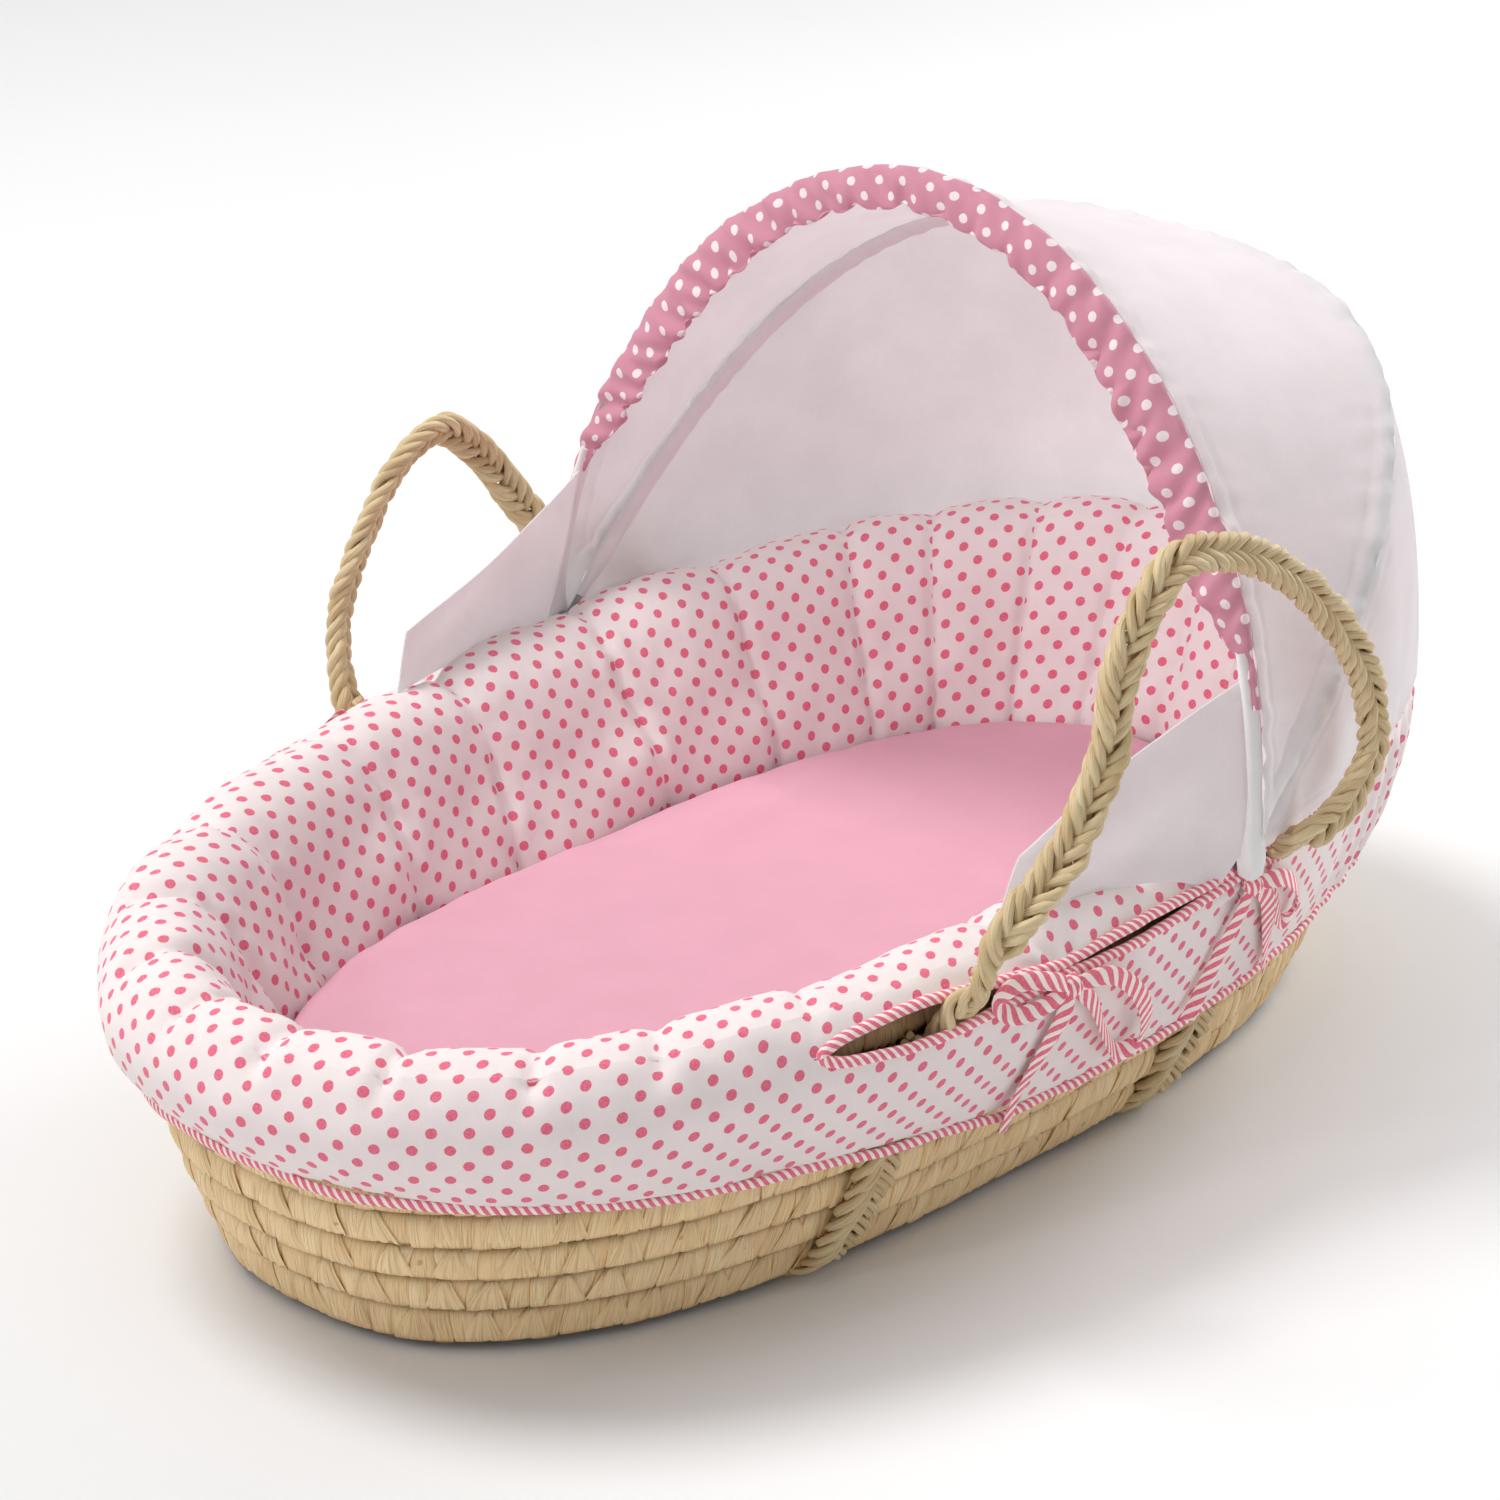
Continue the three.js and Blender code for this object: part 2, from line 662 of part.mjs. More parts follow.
// A hollow fabric tube round part of a hoop's wire.
function hoopTube(hoop, radius, from, to, steps) {
  const section = circleShape(radius, 8, WIRE_RADIUS + CHANNEL_EASE, 6);
  return alongPath(section, new HoopCurve(hoop, from, to), steps);
}

// Such a tube over the whole arch, starting this far above each foot.
function wholeTube(hoop, radius, startUp, steps) {
  const start = turnAt(hoop, startUp);
  return hoopTube(hoop, radius, start, 180 - start, steps);
}

// Points between two hoops or edges, a set distance clear of each.
function spanGrid(first, second, firstClear, secondClear, turns, across) {
  return turns.map((turn) => {
    const start = first(turn);
    const end = second(turn);
    const length = start.distanceTo(end);
    return range(across).map((i) => {
      const share = lerp(firstClear / length, 1 - secondClear / length, i / (across - 1));
      return start.clone().lerp(end, share);
    });
  });
}

// Even turns over an arch, leaving this many degrees free at each foot.
function archTurns(free) {
  const steps = 20;
  return range(steps + 1).map((i) => lerp(free, 180 - free, i / steps));
}

function canopyTop() {
  const front = (turn) => hoopPoint(FRONT_HOOP, turn);
  const rear = (turn) => hoopPoint(REAR_HOOP, turn);
  const grid = spanGrid(front, rear, CANOPY_FRONT_CLEARANCE, CANOPY_REAR_CLEARANCE, archTurns(14), 3);
  return sheetBody(grid, CANOPY_THICKNESS);
}

// The hood's lower edge: outside the padded rim, from one pivot round the head end to the other.
function hoodHem(turn) {
  const around = lerp(-HOOD_HEM_TURN, HOOD_HEM_TURN, turn / 180);
  return rimPoint(PAD_RADIUS + HOOD_HEM_OUT, HOOD_HEM_ANGLE, radians(around));
}

function canopyBack() {
  const rear = (turn) => hoopPoint(REAR_HOOP, turn);
  return sheetBody(spanGrid(rear, hoodHem, CANOPY_REAR_CLEARANCE, 0, archTurns(16), 4), CANOPY_THICKNESS);
}

// A small triangle of cloth from the front hoop's leg to the rim.
function hoodWing(side) {
  const legTurn = (turn) => (side < 0 ? turn : 180 - turn);
  const legTop = hoopPoint(FRONT_HOOP, legTurn(turnAt(FRONT_HOOP, SLEEVE_START - 3)));
  const legFoot = hoopPoint(FRONT_HOOP, legTurn(turnAt(FRONT_HOOP, CHANNEL_START)));
  const tip = new THREE.Vector3(WING_TIP[0], side * WING_TIP[1], WING_TIP[2]);
  const corner = new THREE.Vector3(WING_CORNER[0], side * WING_CORNER[1], WING_CORNER[2]);
  const clear = CHANNEL_RADIUS + 2.5 * GAP;
  const rows = [0, 0.5, 1].map((up) => {
    const start = legFoot.clone().lerp(legTop, up);
    const end = tip.clone().lerp(corner, up);
    const length = start.distanceTo(end);
    return range(4).map((i) => start.clone().lerp(end, lerp(clear / length, 1, i / 3)));
  });
  return sheetBody(rows, CANOPY_THICKNESS);
}

// A cranked plate from behind the skirt, out through the slit and up to the pin.
function pivotBracket(side) {
  const rim = rimAt(PIVOT_X);
  const middle = [
    [rim.halfWidth + 1.5, rim.height - 50],
    [rim.halfWidth + 8, rim.height - 26],
    [rim.halfWidth + 14, rim.height - 8],
    [PIVOT_Y - BRACKET_INSET, PIVOT_Z - 9],
    [PIVOT_Y - BRACKET_INSET, PIVOT_Z + 8],
  ];
  const face = (out) => middle.map(([y, z]) => new THREE.Vector2(y + out, z));
  const half = BRACKET_THICKNESS / 2;
  const shape = new THREE.Shape([...face(half), ...face(-half).reverse()]);
  const plate = new THREE.ExtrudeGeometry(shape, { depth: BRACKET_WIDTH, bevelEnabled: false });
  plate.applyMatrix4(new THREE.Matrix4().makeBasis(
    new THREE.Vector3(0, 1, 0),
    new THREE.Vector3(0, 0, 1),
    new THREE.Vector3(1, 0, 0),
  ));
  plate.translate(PIVOT_X - BRACKET_WIDTH / 2, 0, 0);
  if (side < 0) plate.rotateZ(Math.PI).translate(2 * PIVOT_X, 0, 0);
  return plate;
}

// A rivet: a shank through both hoops' eyes, with a domed head outside and a collar inside.
function pivotPin(side) {
  const inner = PIVOT_Y - BRACKET_INSET + BRACKET_THICKNESS / 2 + GAP;
  const rearFace = REAR_HOOP.halfWidth - EYE_THICKNESS / 2 - GAP;
  const frontFace = FRONT_HOOP.halfWidth + EYE_THICKNESS / 2 + GAP;
  const { radius, crown, shoulder, height } = RIVET_HEAD;
  const profile = [
    [0, inner], [COLLAR_RADIUS, inner], [COLLAR_RADIUS, rearFace], [PIN_RADIUS, rearFace],
    [PIN_RADIUS, frontFace], [radius, frontFace], [crown, frontFace + shoulder], [0, frontFace + height],
  ];
  const pin = new THREE.LatheGeometry(profile.map(([r, y]) => new THREE.Vector2(r, y)), PIN_SIDES);
  if (side < 0) pin.rotateZ(Math.PI);
  pin.translate(PIVOT_X, 0, PIVOT_Z);
  return pin;
}

// ---- Assembly --------------------------------------------------------------------------

addPart('basket_base', basketBase(), straw);
addPart('basket_wall', basketWall(), straw);
addPart('basket_rim', basketRim(), straw);
addPart('band_foot', carryingBand(NEAR_FEET[0], FAR_FEET[0]), straw);
addPart('band_head', carryingBand(NEAR_FEET[1], FAR_FEET[1]), straw);
addPart('handle_near', handle(NEAR_ARCH, -1), straw);
addPart('handle_far', handle(FAR_ARCH, 1), straw);

addPart('liner_floor', linerFloor(), dottedCotton);
addPart('liner_bumper', linerBumper(), dottedCotton);
addPart('liner_skirt', linerSkirt(), dottedCotton);
addPart('hem_binding', hemBinding(), stripedBinding);
for (const [name, side] of [['near', -1], ['far', 1]]) {
  addPart(`slit_binding_${name}`, slitBinding(side), stripedBinding);
  addPart(`tie_${name}_foot`, tieBow(side, TIE_X[0]), stripedBinding);
  addPart(`tie_${name}_head`, tieBow(side, TIE_X[1]), stripedBinding);
}

addPart('mattress_core', mattressCore(), foam);
addPart('fitted_sheet', fittedSheet(), pinkCotton);
addPart('sheet_elastic', sheetElastic(), elastic);

addPart('front_hoop', wireHoop(FRONT_HOOP), springWire);
addPart('rear_hoop', wireHoop(REAR_HOOP), springWire);
addPart('front_sleeve', wholeTube(FRONT_HOOP, SLEEVE_RADIUS, SLEEVE_START, 26), dottedPink);
addPart('rear_channel', wholeTube(REAR_HOOP, CHANNEL_RADIUS, CHANNEL_START, 30), whiteCotton);
addPart('canopy_top', canopyTop(), whiteCotton);
addPart('canopy_back', canopyBack(), whiteCotton);
for (const [name, side] of [['near', -1], ['far', 1]]) {
  const turns = [CHANNEL_START, SLEEVE_START - 1].map((up) => turnAt(FRONT_HOOP, up));
  const leg = side < 0 ? turns : turns.map((turn) => 180 - turn);
  addPart(`front_channel_${name}`, hoopTube(FRONT_HOOP, CHANNEL_RADIUS, ...leg, 4), whiteCotton);
  addPart(`wing_${name}`, hoodWing(side), whiteCotton);
  addPart(`pivot_bracket_${name}`, pivotBracket(side), whitePlastic);
  addPart(`pivot_pin_${name}`, pivotPin(side), springWire);
}

export default basket;
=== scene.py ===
"""Straw Moses basket with a padded liner and a folding hood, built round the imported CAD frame."""
import math

import bpy
import numpy as np
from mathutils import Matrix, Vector


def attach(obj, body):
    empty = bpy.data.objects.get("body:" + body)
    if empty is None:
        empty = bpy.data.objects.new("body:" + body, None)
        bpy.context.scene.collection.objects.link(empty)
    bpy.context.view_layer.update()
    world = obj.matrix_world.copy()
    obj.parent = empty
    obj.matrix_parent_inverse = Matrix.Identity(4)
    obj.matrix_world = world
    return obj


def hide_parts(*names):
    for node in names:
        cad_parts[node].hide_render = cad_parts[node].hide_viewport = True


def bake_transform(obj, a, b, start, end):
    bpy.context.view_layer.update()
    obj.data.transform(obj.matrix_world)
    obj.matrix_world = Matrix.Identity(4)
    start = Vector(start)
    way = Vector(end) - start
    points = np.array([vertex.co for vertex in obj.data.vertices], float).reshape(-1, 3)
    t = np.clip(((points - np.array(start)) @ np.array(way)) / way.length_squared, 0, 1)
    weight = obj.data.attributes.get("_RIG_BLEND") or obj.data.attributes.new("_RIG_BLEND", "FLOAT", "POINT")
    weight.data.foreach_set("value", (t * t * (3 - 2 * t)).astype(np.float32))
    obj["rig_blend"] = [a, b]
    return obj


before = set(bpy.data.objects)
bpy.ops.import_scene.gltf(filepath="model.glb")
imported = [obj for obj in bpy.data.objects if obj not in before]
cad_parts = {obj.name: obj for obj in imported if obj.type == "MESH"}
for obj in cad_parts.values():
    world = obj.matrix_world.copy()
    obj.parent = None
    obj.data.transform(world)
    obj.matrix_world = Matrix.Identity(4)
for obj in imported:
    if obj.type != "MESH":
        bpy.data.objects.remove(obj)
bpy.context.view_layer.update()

MM = 0.001
TAU = 2 * math.pi

# ---- Camera ---------------------------------------------------------------------------

CAMERA_TARGET = Vector((-0.0343, -0.0025, 0.2049))
CAMERA_AZIMUTH = -46.7
CAMERA_ELEVATION = 22.7
CAMERA_DISTANCE = 2.3576
CAMERA_LENS = 106.7


def make_camera():
    azimuth, elevation = math.radians(CAMERA_AZIMUTH), math.radians(CAMERA_ELEVATION)
    back = Vector((
        math.sin(azimuth) * math.cos(elevation),
        -math.cos(azimuth) * math.cos(elevation),
        math.sin(elevation),
    ))
    data = bpy.data.cameras.new("camera")
    data.lens = CAMERA_LENS
    data.sensor_width = 36
    camera = bpy.data.objects.new("camera", data)
    camera.location = CAMERA_TARGET + back * CAMERA_DISTANCE
    camera.rotation_euler = (-back).to_track_quat("-Z", "Y").to_euler()
    bpy.context.collection.objects.link(camera)
    bpy.context.scene.camera = camera


make_camera()

# ---- The basket's own shape, in metres, as in the CAD part ----------------------------------

BASE_HALF_LENGTH, BASE_HALF_WIDTH, BASE_SQUARENESS = 0.348, 0.156, 2.6
RIM_HALF_LENGTH, RIM_HALF_WIDTH, RIM_SQUARENESS = 0.388, 0.219, 2.3
RIM_HEIGHT, HEAD_RISE, LEVEL_HEIGHT = 0.165, 0.023, 0.020
FLARE_POWER = 1.7
WALL_HALF = 0.006
BASE_BOTTOM, BASE_TOP, WALL_TOP = 0.0044, 0.016, 0.153
PAD_RADIUS = 0.030
HEM_HEIGHT, HEM_END_RISE, HEM_OUT = 0.080, 0.026, 0.026
SLIT_MIDDLE, SLIT_HALF_LENGTH = -0.020, 0.184
HANDLE_PIVOT_Y, HANDLE_PIVOT_Z = 0.265, 0.182
NEAR_FEET, FAR_FEET = (-0.148, 0.108), (-0.101, 0.132)
BAND_BOW = 0.045
MATTRESS_HALF_LENGTH, MATTRESS_HALF_WIDTH = 0.318, 0.146
PIVOT = Vector((0.072, 0.250, 0.182))
FRONT_HOOP = dict(angle=84, reach=0.308, half_width=0.255, squareness=1.9)
REAR_HOOP = dict(angle=46, reach=0.331, half_width=0.2465, squareness=2.9)
SLEEVE_START, CHANNEL_START = 0.092, 0.028
# Handles as (along, height over the pivot line), from the foot end to the head end.
NEAR_ARCH = [
    (-0.148, 0), (-0.140, 0.038), (-0.099, 0.066), (-0.070, 0.106), (-0.060, 0.150), (-0.022, 0.192),
    (0.030, 0.184), (0.090, 0.147), (0.138, 0.092), (0.151, 0.045), (0.133, 0.016), (0.108, 0),
]
FAR_ARCH = [
    (-0.101, 0), (-0.080, 0.039), (-0.057, 0.086), (-0.033, 0.116), (-0.002, 0.131), (0.028, 0.112),
    (0.078, 0.052), (0.118, 0.026), (0.136, 0.012), (0.132, 0),
]


def lerp(a, b, share):
    return a + (b - a) * share


def smooth(value):
    value = np.clip(value, 0, 1)
    return value * value * (3 - 2 * value)


def powered(value, power):
    """A power of the value's size, with the value's sign."""
    return np.sign(value) * np.abs(value) ** power


def hump(distance, size):
    """1 at no distance, fading smoothly to nothing over about twice this size."""
    return np.exp(-(distance / size) ** 2)


def level(vectors):
    """The same vectors without their height."""
    return vectors * np.array([1, 1, 0])


def oval(half_length, half_width, squareness, turn):
    """A rounded oval in plan; turn 0 is the head end."""
    power = 2 / squareness
    return half_length * powered(np.cos(turn), power), half_width * powered(np.sin(turn), power)


def flare(height):
    left = np.clip(1 - height / RIM_HEIGHT, 0, 1)
    return 1 - left**FLARE_POWER


def risen(height, x):
    share = np.maximum(0, (height - LEVEL_HEIGHT) / (RIM_HEIGHT - LEVEL_HEIGHT))
    return height + HEAD_RISE * share * x / RIM_HALF_LENGTH


def wall_point(out, height, turn):
    open_ = flare(height)
    x, y = oval(
        lerp(BASE_HALF_LENGTH, RIM_HALF_LENGTH, open_) + out,
        lerp(BASE_HALF_WIDTH, RIM_HALF_WIDTH, open_) + out,
        lerp(BASE_SQUARENESS, RIM_SQUARENESS, open_),
        turn,
    )
    return np.stack([x, y, risen(height, x)], -1)


def rim_point(radius, angle, turn):
    """A point round the rim's centre line; angle 0 faces outwards and 90 faces up."""
    out = radius * np.cos(np.radians(angle))
    up = radius * np.sin(np.radians(angle))
    x, y = oval(RIM_HALF_LENGTH + out, RIM_HALF_WIDTH + out, RIM_SQUARENESS, turn)
    return np.stack([x, y, risen(RIM_HEIGHT, x) + up], -1)


def hem_point(out, up, turn):
    x, y, _ = np.moveaxis(wall_point(out, HEM_HEIGHT, turn), -1, 0)
    height = HEM_HEIGHT + 0.003 + HEM_END_RISE * (x / RIM_HALF_LENGTH) ** 2
    height = height + 0.011 * smooth((-x - 0.02) / 0.2)
    return np.stack([x, y, risen(height, x) + up], -1)


def rim_half_width(x):
    share = np.abs(x / RIM_HALF_LENGTH) ** RIM_SQUARENESS
    return RIM_HALF_WIDTH * (1 - share) ** (1 / RIM_SQUARENESS)


def hoop_point(hoop, turn):
    """A point of a hoop; turn 0 is its near foot and 180 its far foot, in degrees."""
    across, up = oval(hoop["half_width"], hoop["reach"], hoop["squareness"], np.radians(turn))
    angle = math.radians(hoop["angle"])
    return np.stack([PIVOT.x + up * math.cos(angle), -across, PIVOT.z + up * math.sin(angle)], -1)


def turn_at(hoop, up):
    return math.degrees(math.asin((up / hoop["reach"]) ** (hoop["squareness"] / 2)))


# ---- Numbers along and over surfaces ------------------------------------------------------------


def lengths(points, axis=0):
    """Distance travelled along one axis of an array of points, starting at 0."""
    steps = np.linalg.norm(np.diff(points, axis=axis), axis=-1)
    start = np.zeros_like(np.take(steps, [0], axis=axis))
    return np.concatenate([start, np.cumsum(steps, axis=axis)], axis=axis)


def even_turns(place, count, dense=3600):
    """Turns that divide the closed curve place(turn) into equal lengths."""
    turns = np.linspace(0, TAU, dense + 1)
    travelled = lengths(place(turns))
    return np.interp(np.arange(count) / count * travelled[-1], travelled, turns)


def between(t, t_a, t_b, a, b):
    """The point for t on the line through a at t_a and b at t_b."""
    return (t_b - t) / (t_b - t_a) * a + (t - t_a) / (t_b - t_a) * b


def resampled(points, spacing):
    """The same open path, smoothed through its points and cut into equal steps."""
    points = np.asarray(points, float)
    steps = np.linalg.norm(np.diff(points, axis=0), axis=1)
    knots = np.concatenate([[0], np.cumsum(steps**0.5)])
    padded = np.vstack([2 * points[0] - points[1], points, 2 * points[-1] - points[-2]])
    knots = np.concatenate([[2 * knots[0] - knots[1]], knots, [2 * knots[-1] - knots[-2]]])
    out = []
    for i in range(1, len(padded) - 2):
        t0, t1, t2, t3 = knots[i - 1:i + 3]
        p0, p1, p2, p3 = padded[i - 1:i + 3]
        t = np.linspace(t1, t2, 25)[:-1, None]
        middle = between(t, t1, t2, p1, p2)
        before = between(t, t0, t2, between(t, t0, t1, p0, p1), middle)
        after = between(t, t1, t3, middle, between(t, t2, t3, p2, p3))
        out.append(between(t, t1, t2, before, after))
    fine = np.vstack(out + [points[-1:]])
    travelled = lengths(fine)
    count = max(2, int(round(travelled[-1] / spacing)) + 1)
    at = np.linspace(0, travelled[-1], count)
    return np.stack([np.interp(at, travelled, fine[:, k]) for k in range(3)], -1)


def ripple(points, size, seed, waves=16, stretch=(1, 1, 1)):
    """Smooth random waves of about this size over points, mostly between -1 and 1."""
    rng = np.random.default_rng(seed)
    total = np.zeros(points.shape[:-1])
    scaled = points / np.array(stretch)[:points.shape[-1]]
    for _ in range(waves):
        way = rng.normal(size=points.shape[-1])
        way *= TAU / (size * rng.uniform(0.7, 1.7)) / np.linalg.norm(way)
        total += np.sin(scaled @ way + rng.uniform(0, TAU))
    return total / math.sqrt(waves)


def unit(vectors):
    return vectors / np.maximum(np.linalg.norm(vectors, axis=-1, keepdims=True), 1e-12)


def grid_normals(points):
    """Normals of a grid of points whose last column joins its first."""
    down = np.gradient(points, axis=0)
    across = np.roll(points, -1, axis=1) - np.roll(points, 1, axis=1)
    return unit(np.cross(across, down))


# ---- Meshes ------------------------------------------------------------------------------------


def mesh_object(name, points, faces, material, uv=None, tones=None, sharp=None):
    mesh = bpy.data.meshes.new(name)
    mesh.from_pydata([tuple(p) for p in points], [], [tuple(f) for f in faces])
    if uv is not None:
        layer = mesh.uv_layers.new(name="UVMap")
        layer.data.foreach_set("uv", np.asarray(uv, np.float32).ravel())
    if tones is not None:
        layer = mesh.attributes.new("tone", "FLOAT", "POINT")
        layer.data.foreach_set("value", np.asarray(tones, np.float32).ravel())
    mesh.validate()
    mesh.update()
    mesh.shade_smooth()
    if sharp is not None:
        mesh.set_sharp_from_angle(angle=math.radians(sharp))
    made = bpy.data.objects.new(name, mesh)
    bpy.context.collection.objects.link(made)
    mesh.materials.append(material)
    return made


def grid_faces(rows, columns, closed=False, looped=False, start=0):
    """Quads of a grid; closed joins its last column to the first, looped its last row to the first."""
    r = np.arange(rows if looped else rows - 1)
    c = np.arange(columns if closed else columns - 1)
    r, c = [v.ravel() for v in np.meshgrid(r, c, indexing="ij")]
    below, right = (r + 1) % rows, (c + 1) % columns
    corners = [r * columns + c, r * columns + right, below * columns + right, below * columns + c]
    return np.stack(corners, -1) + start


def grid_uv(u, v):
    """UVs for grid_faces, from corner values one row and one column larger where it is closed."""
    pairs = []
    for array in (u, v):
        pairs.append(np.stack([array[:-1, :-1], array[:-1, 1:], array[1:, 1:], array[1:, :-1]], -1))
    return np.stack(pairs, -1).reshape(-1, 2)


class Pile:
    """Gathers many small grids into one mesh."""

    def __init__(self):
        self.points, self.faces, self.uv, self.tones, self.count = [], [], [], [], 0

    def tube(self, rings, u, v, tone, caps=True, turned=False):
        """A run of closed rings, shaped (along, around, 3), with UVs in metres, or V and U if turned."""
        along, around = rings.shape[:2]
        self.points.append(rings.reshape(-1, 3))
        self.faces += grid_faces(along, around, closed=True, start=self.count).tolist()
        uu = np.broadcast_to(np.asarray(u)[:, None], (along, around + 1))
        vv = np.broadcast_to(np.asarray(v)[None, :], (along, around + 1))
        self.uv.append(grid_uv(vv, uu) if turned else grid_uv(uu, vv))
        tones = np.asarray(tone, float).reshape(-1, 1)
        self.tones.append(np.broadcast_to(tones, (along, around)).ravel())
        if caps:
            for ring, order in ((0, range(around)), (along - 1, range(around - 1, -1, -1))):
                self.faces.append([self.count + ring * around + k for k in order])
                self.uv.append(np.tile([float(np.asarray(u)[ring]), 0.0], (around, 1)))
        self.count += along * around

    def loop(self, rings, uv, tone):
        """Adds rings that run all the way round and join up with themselves."""
        rows, around = rings.shape[:2]
        self.points.append(rings.reshape(-1, 3))
        self.faces += grid_faces(rows, around, closed=True, looped=True, start=self.count).tolist()
        self.uv.append(uv)
        self.tones.append(np.broadcast_to(tone, (rows, around)).ravel())
        self.count += rows * around

    def build(self, name, material, sharp=None):
        return mesh_object(
            name, np.concatenate(self.points), self.faces, material,
            uv=np.concatenate(self.uv), tones=np.concatenate(self.tones), sharp=sharp,
        )


def tube_object(name, rings, u, v, material, sharp):
    """One capped run of rings as a piece of its own."""
    pile = Pile()
    pile.tube(rings, u, v, 0)
    return pile.build(name, material, sharp=sharp)


def sheet_object(name, grid, normals, thickness, material, u, v):
    """A thin closed sheet: the grid is its outer face and a second face lies inside it."""
    rows, columns = grid.shape[:2]
    inner = grid - normals * thickness
    points = np.concatenate([grid.reshape(-1, 3), inner.reshape(-1, 3)])
    outer_faces = grid_faces(rows, columns)
    inner_faces = grid_faces(rows, columns, start=rows * columns)[:, ::-1]
    at = np.arange(rows * columns).reshape(rows, columns)
    edge = np.concatenate([at[0, :-1], at[:-1, -1], at[-1, :0:-1], at[:0:-1, 0]])
    after = np.roll(edge, -1)
    back = rows * columns
    rim_faces = np.stack([edge, edge + back, after + back, after], -1)
    face_uv = grid_uv(u, v)
    inner_uv = face_uv.reshape(-1, 4, 2)[:, ::-1].reshape(-1, 2)
    flat = np.stack([u.ravel(), v.ravel()], -1)
    rim_uv = flat[np.stack([edge, edge, after, after], -1)].reshape(-1, 2)
    faces = np.concatenate([outer_faces, inner_faces, rim_faces])
    return mesh_object(name, points, faces.tolist(), material,
                       uv=np.concatenate([face_uv, inner_uv, rim_uv]), sharp=50)


# ---- Materials -----------------------------------------------------------------------------------


def colour(red, green, blue):
    """An sRGB colour, 0 to 255, as the linear colour that shaders want."""
    parts = [v / 255 for v in (red, green, blue)]
    return tuple(v / 12.92 if v <= 0.04045 else ((v + 0.055) / 1.055) ** 2.4 for v in parts) + (1.0,)


def dimmed(paint, share):
    """A colour with this share of its light."""
    return tuple(share * v for v in paint[:3]) + (1,)


class Shader:
    """A material's node tree, with short names for the nodes it uses."""

    def __init__(self, name, roughness, sheer=0.0, **sockets):
        self.sheer = sheer
        self.material = bpy.data.materials.new(name)
        self.material.use_nodes = True
        self.tree = self.material.node_tree
        self.bsdf = self.tree.nodes["Principled BSDF"]
        self.bsdf.inputs["Roughness"].default_value = roughness
        for socket, value in sockets.items():
            self.bsdf.inputs[socket.replace("_", " ")].default_value = value

    def node(self, kind, inputs=None, **settings):
        made = self.tree.nodes.new(kind)
        for key, value in settings.items():
            setattr(made, key, value)
        for key, value in (inputs or {}).items():
            if isinstance(value, bpy.types.NodeSocket):
                self.tree.links.new(value, made.inputs[key])
            else:
                made.inputs[key].default_value = value
        return made

    def uv(self, along=1.0, across=1.0):
        place = self.node("ShaderNodeUVMap", uv_map="UVMap").outputs[0]
        return self.vector("MULTIPLY", place, (along, across, 1))

    def vector(self, operation, *values):
        made = self.node("ShaderNodeVectorMath", dict(enumerate(values)), operation=operation)
        return made.outputs["Value"] if operation == "LENGTH" else made.outputs[0]

    def math(self, operation, *values):
        return self.node("ShaderNodeMath", dict(enumerate(values)), operation=operation).outputs[0]

    def noise(self, place, scale, detail=2.0, roughness=0.5, distortion=0.0):
        inputs = {"Vector": place, "Scale": scale, "Detail": detail, "Roughness": roughness,
                  "Distortion": distortion}
        return self.node("ShaderNodeTexNoise", inputs).outputs[0]

    def ramp(self, value, low, high, to_low=0.0, to_high=1.0):
        inputs = {0: value, 1: low, 2: high, 3: to_low, 4: to_high}
        return self.node("ShaderNodeMapRange", inputs, interpolation_type="SMOOTHSTEP").outputs[0]

    def mix(self, share, a, b):
        return self.node("ShaderNodeMix", {0: share, 6: a, 7: b}, data_type="RGBA").outputs[2]

    def position(self):
        return self.node("ShaderNodeTexCoord").outputs["Object"]

    def tone(self):
        return self.node("ShaderNodeAttribute", attribute_name="tone").outputs["Fac"]

    def finish(self, base, *bumps):
        """Links the base colour and lays each (height, distance) bump over the one before it."""
        self.tree.links.new(base, self.bsdf.inputs["Base Color"])
        normal = None
        for height, distance in bumps:
            inputs = {"Height": height, "Distance": distance, "Strength": 1.0}
            if normal is not None:
                inputs["Normal"] = normal
            normal = self.node("ShaderNodeBump", inputs).outputs[0]
        if normal is not None:
            self.tree.links.new(normal, self.bsdf.inputs["Normal"])
        if self.sheer:
            through = self.node("ShaderNodeBsdfTranslucent", {"Color": base})
            both = self.node("ShaderNodeMixShader", {0: self.sheer, 1: self.bsdf.outputs[0],
                                                     2: through.outputs[0]})
            output = self.tree.nodes["Material Output"]
            self.tree.links.new(both.outputs[0], output.inputs["Surface"])
        return self.material


THREADS_PER_METRE = 1 / 0.0006
DRAWN_OUT = 0.12
WEAVE_HEIGHT = 0.00005
FIBRES_PER_METRE = 1500.0


def threads(shader):
    """Height of a plain weave: noise drawn out along the warp, and along the weft."""
    fine, long = THREADS_PER_METRE, THREADS_PER_METRE * DRAWN_OUT
    warp = shader.noise(shader.uv(fine, long), 1.0, detail=1.0)
    weft = shader.noise(shader.uv(long, fine), 1.0, detail=1.0)
    return shader.math("ADD", warp, weft)


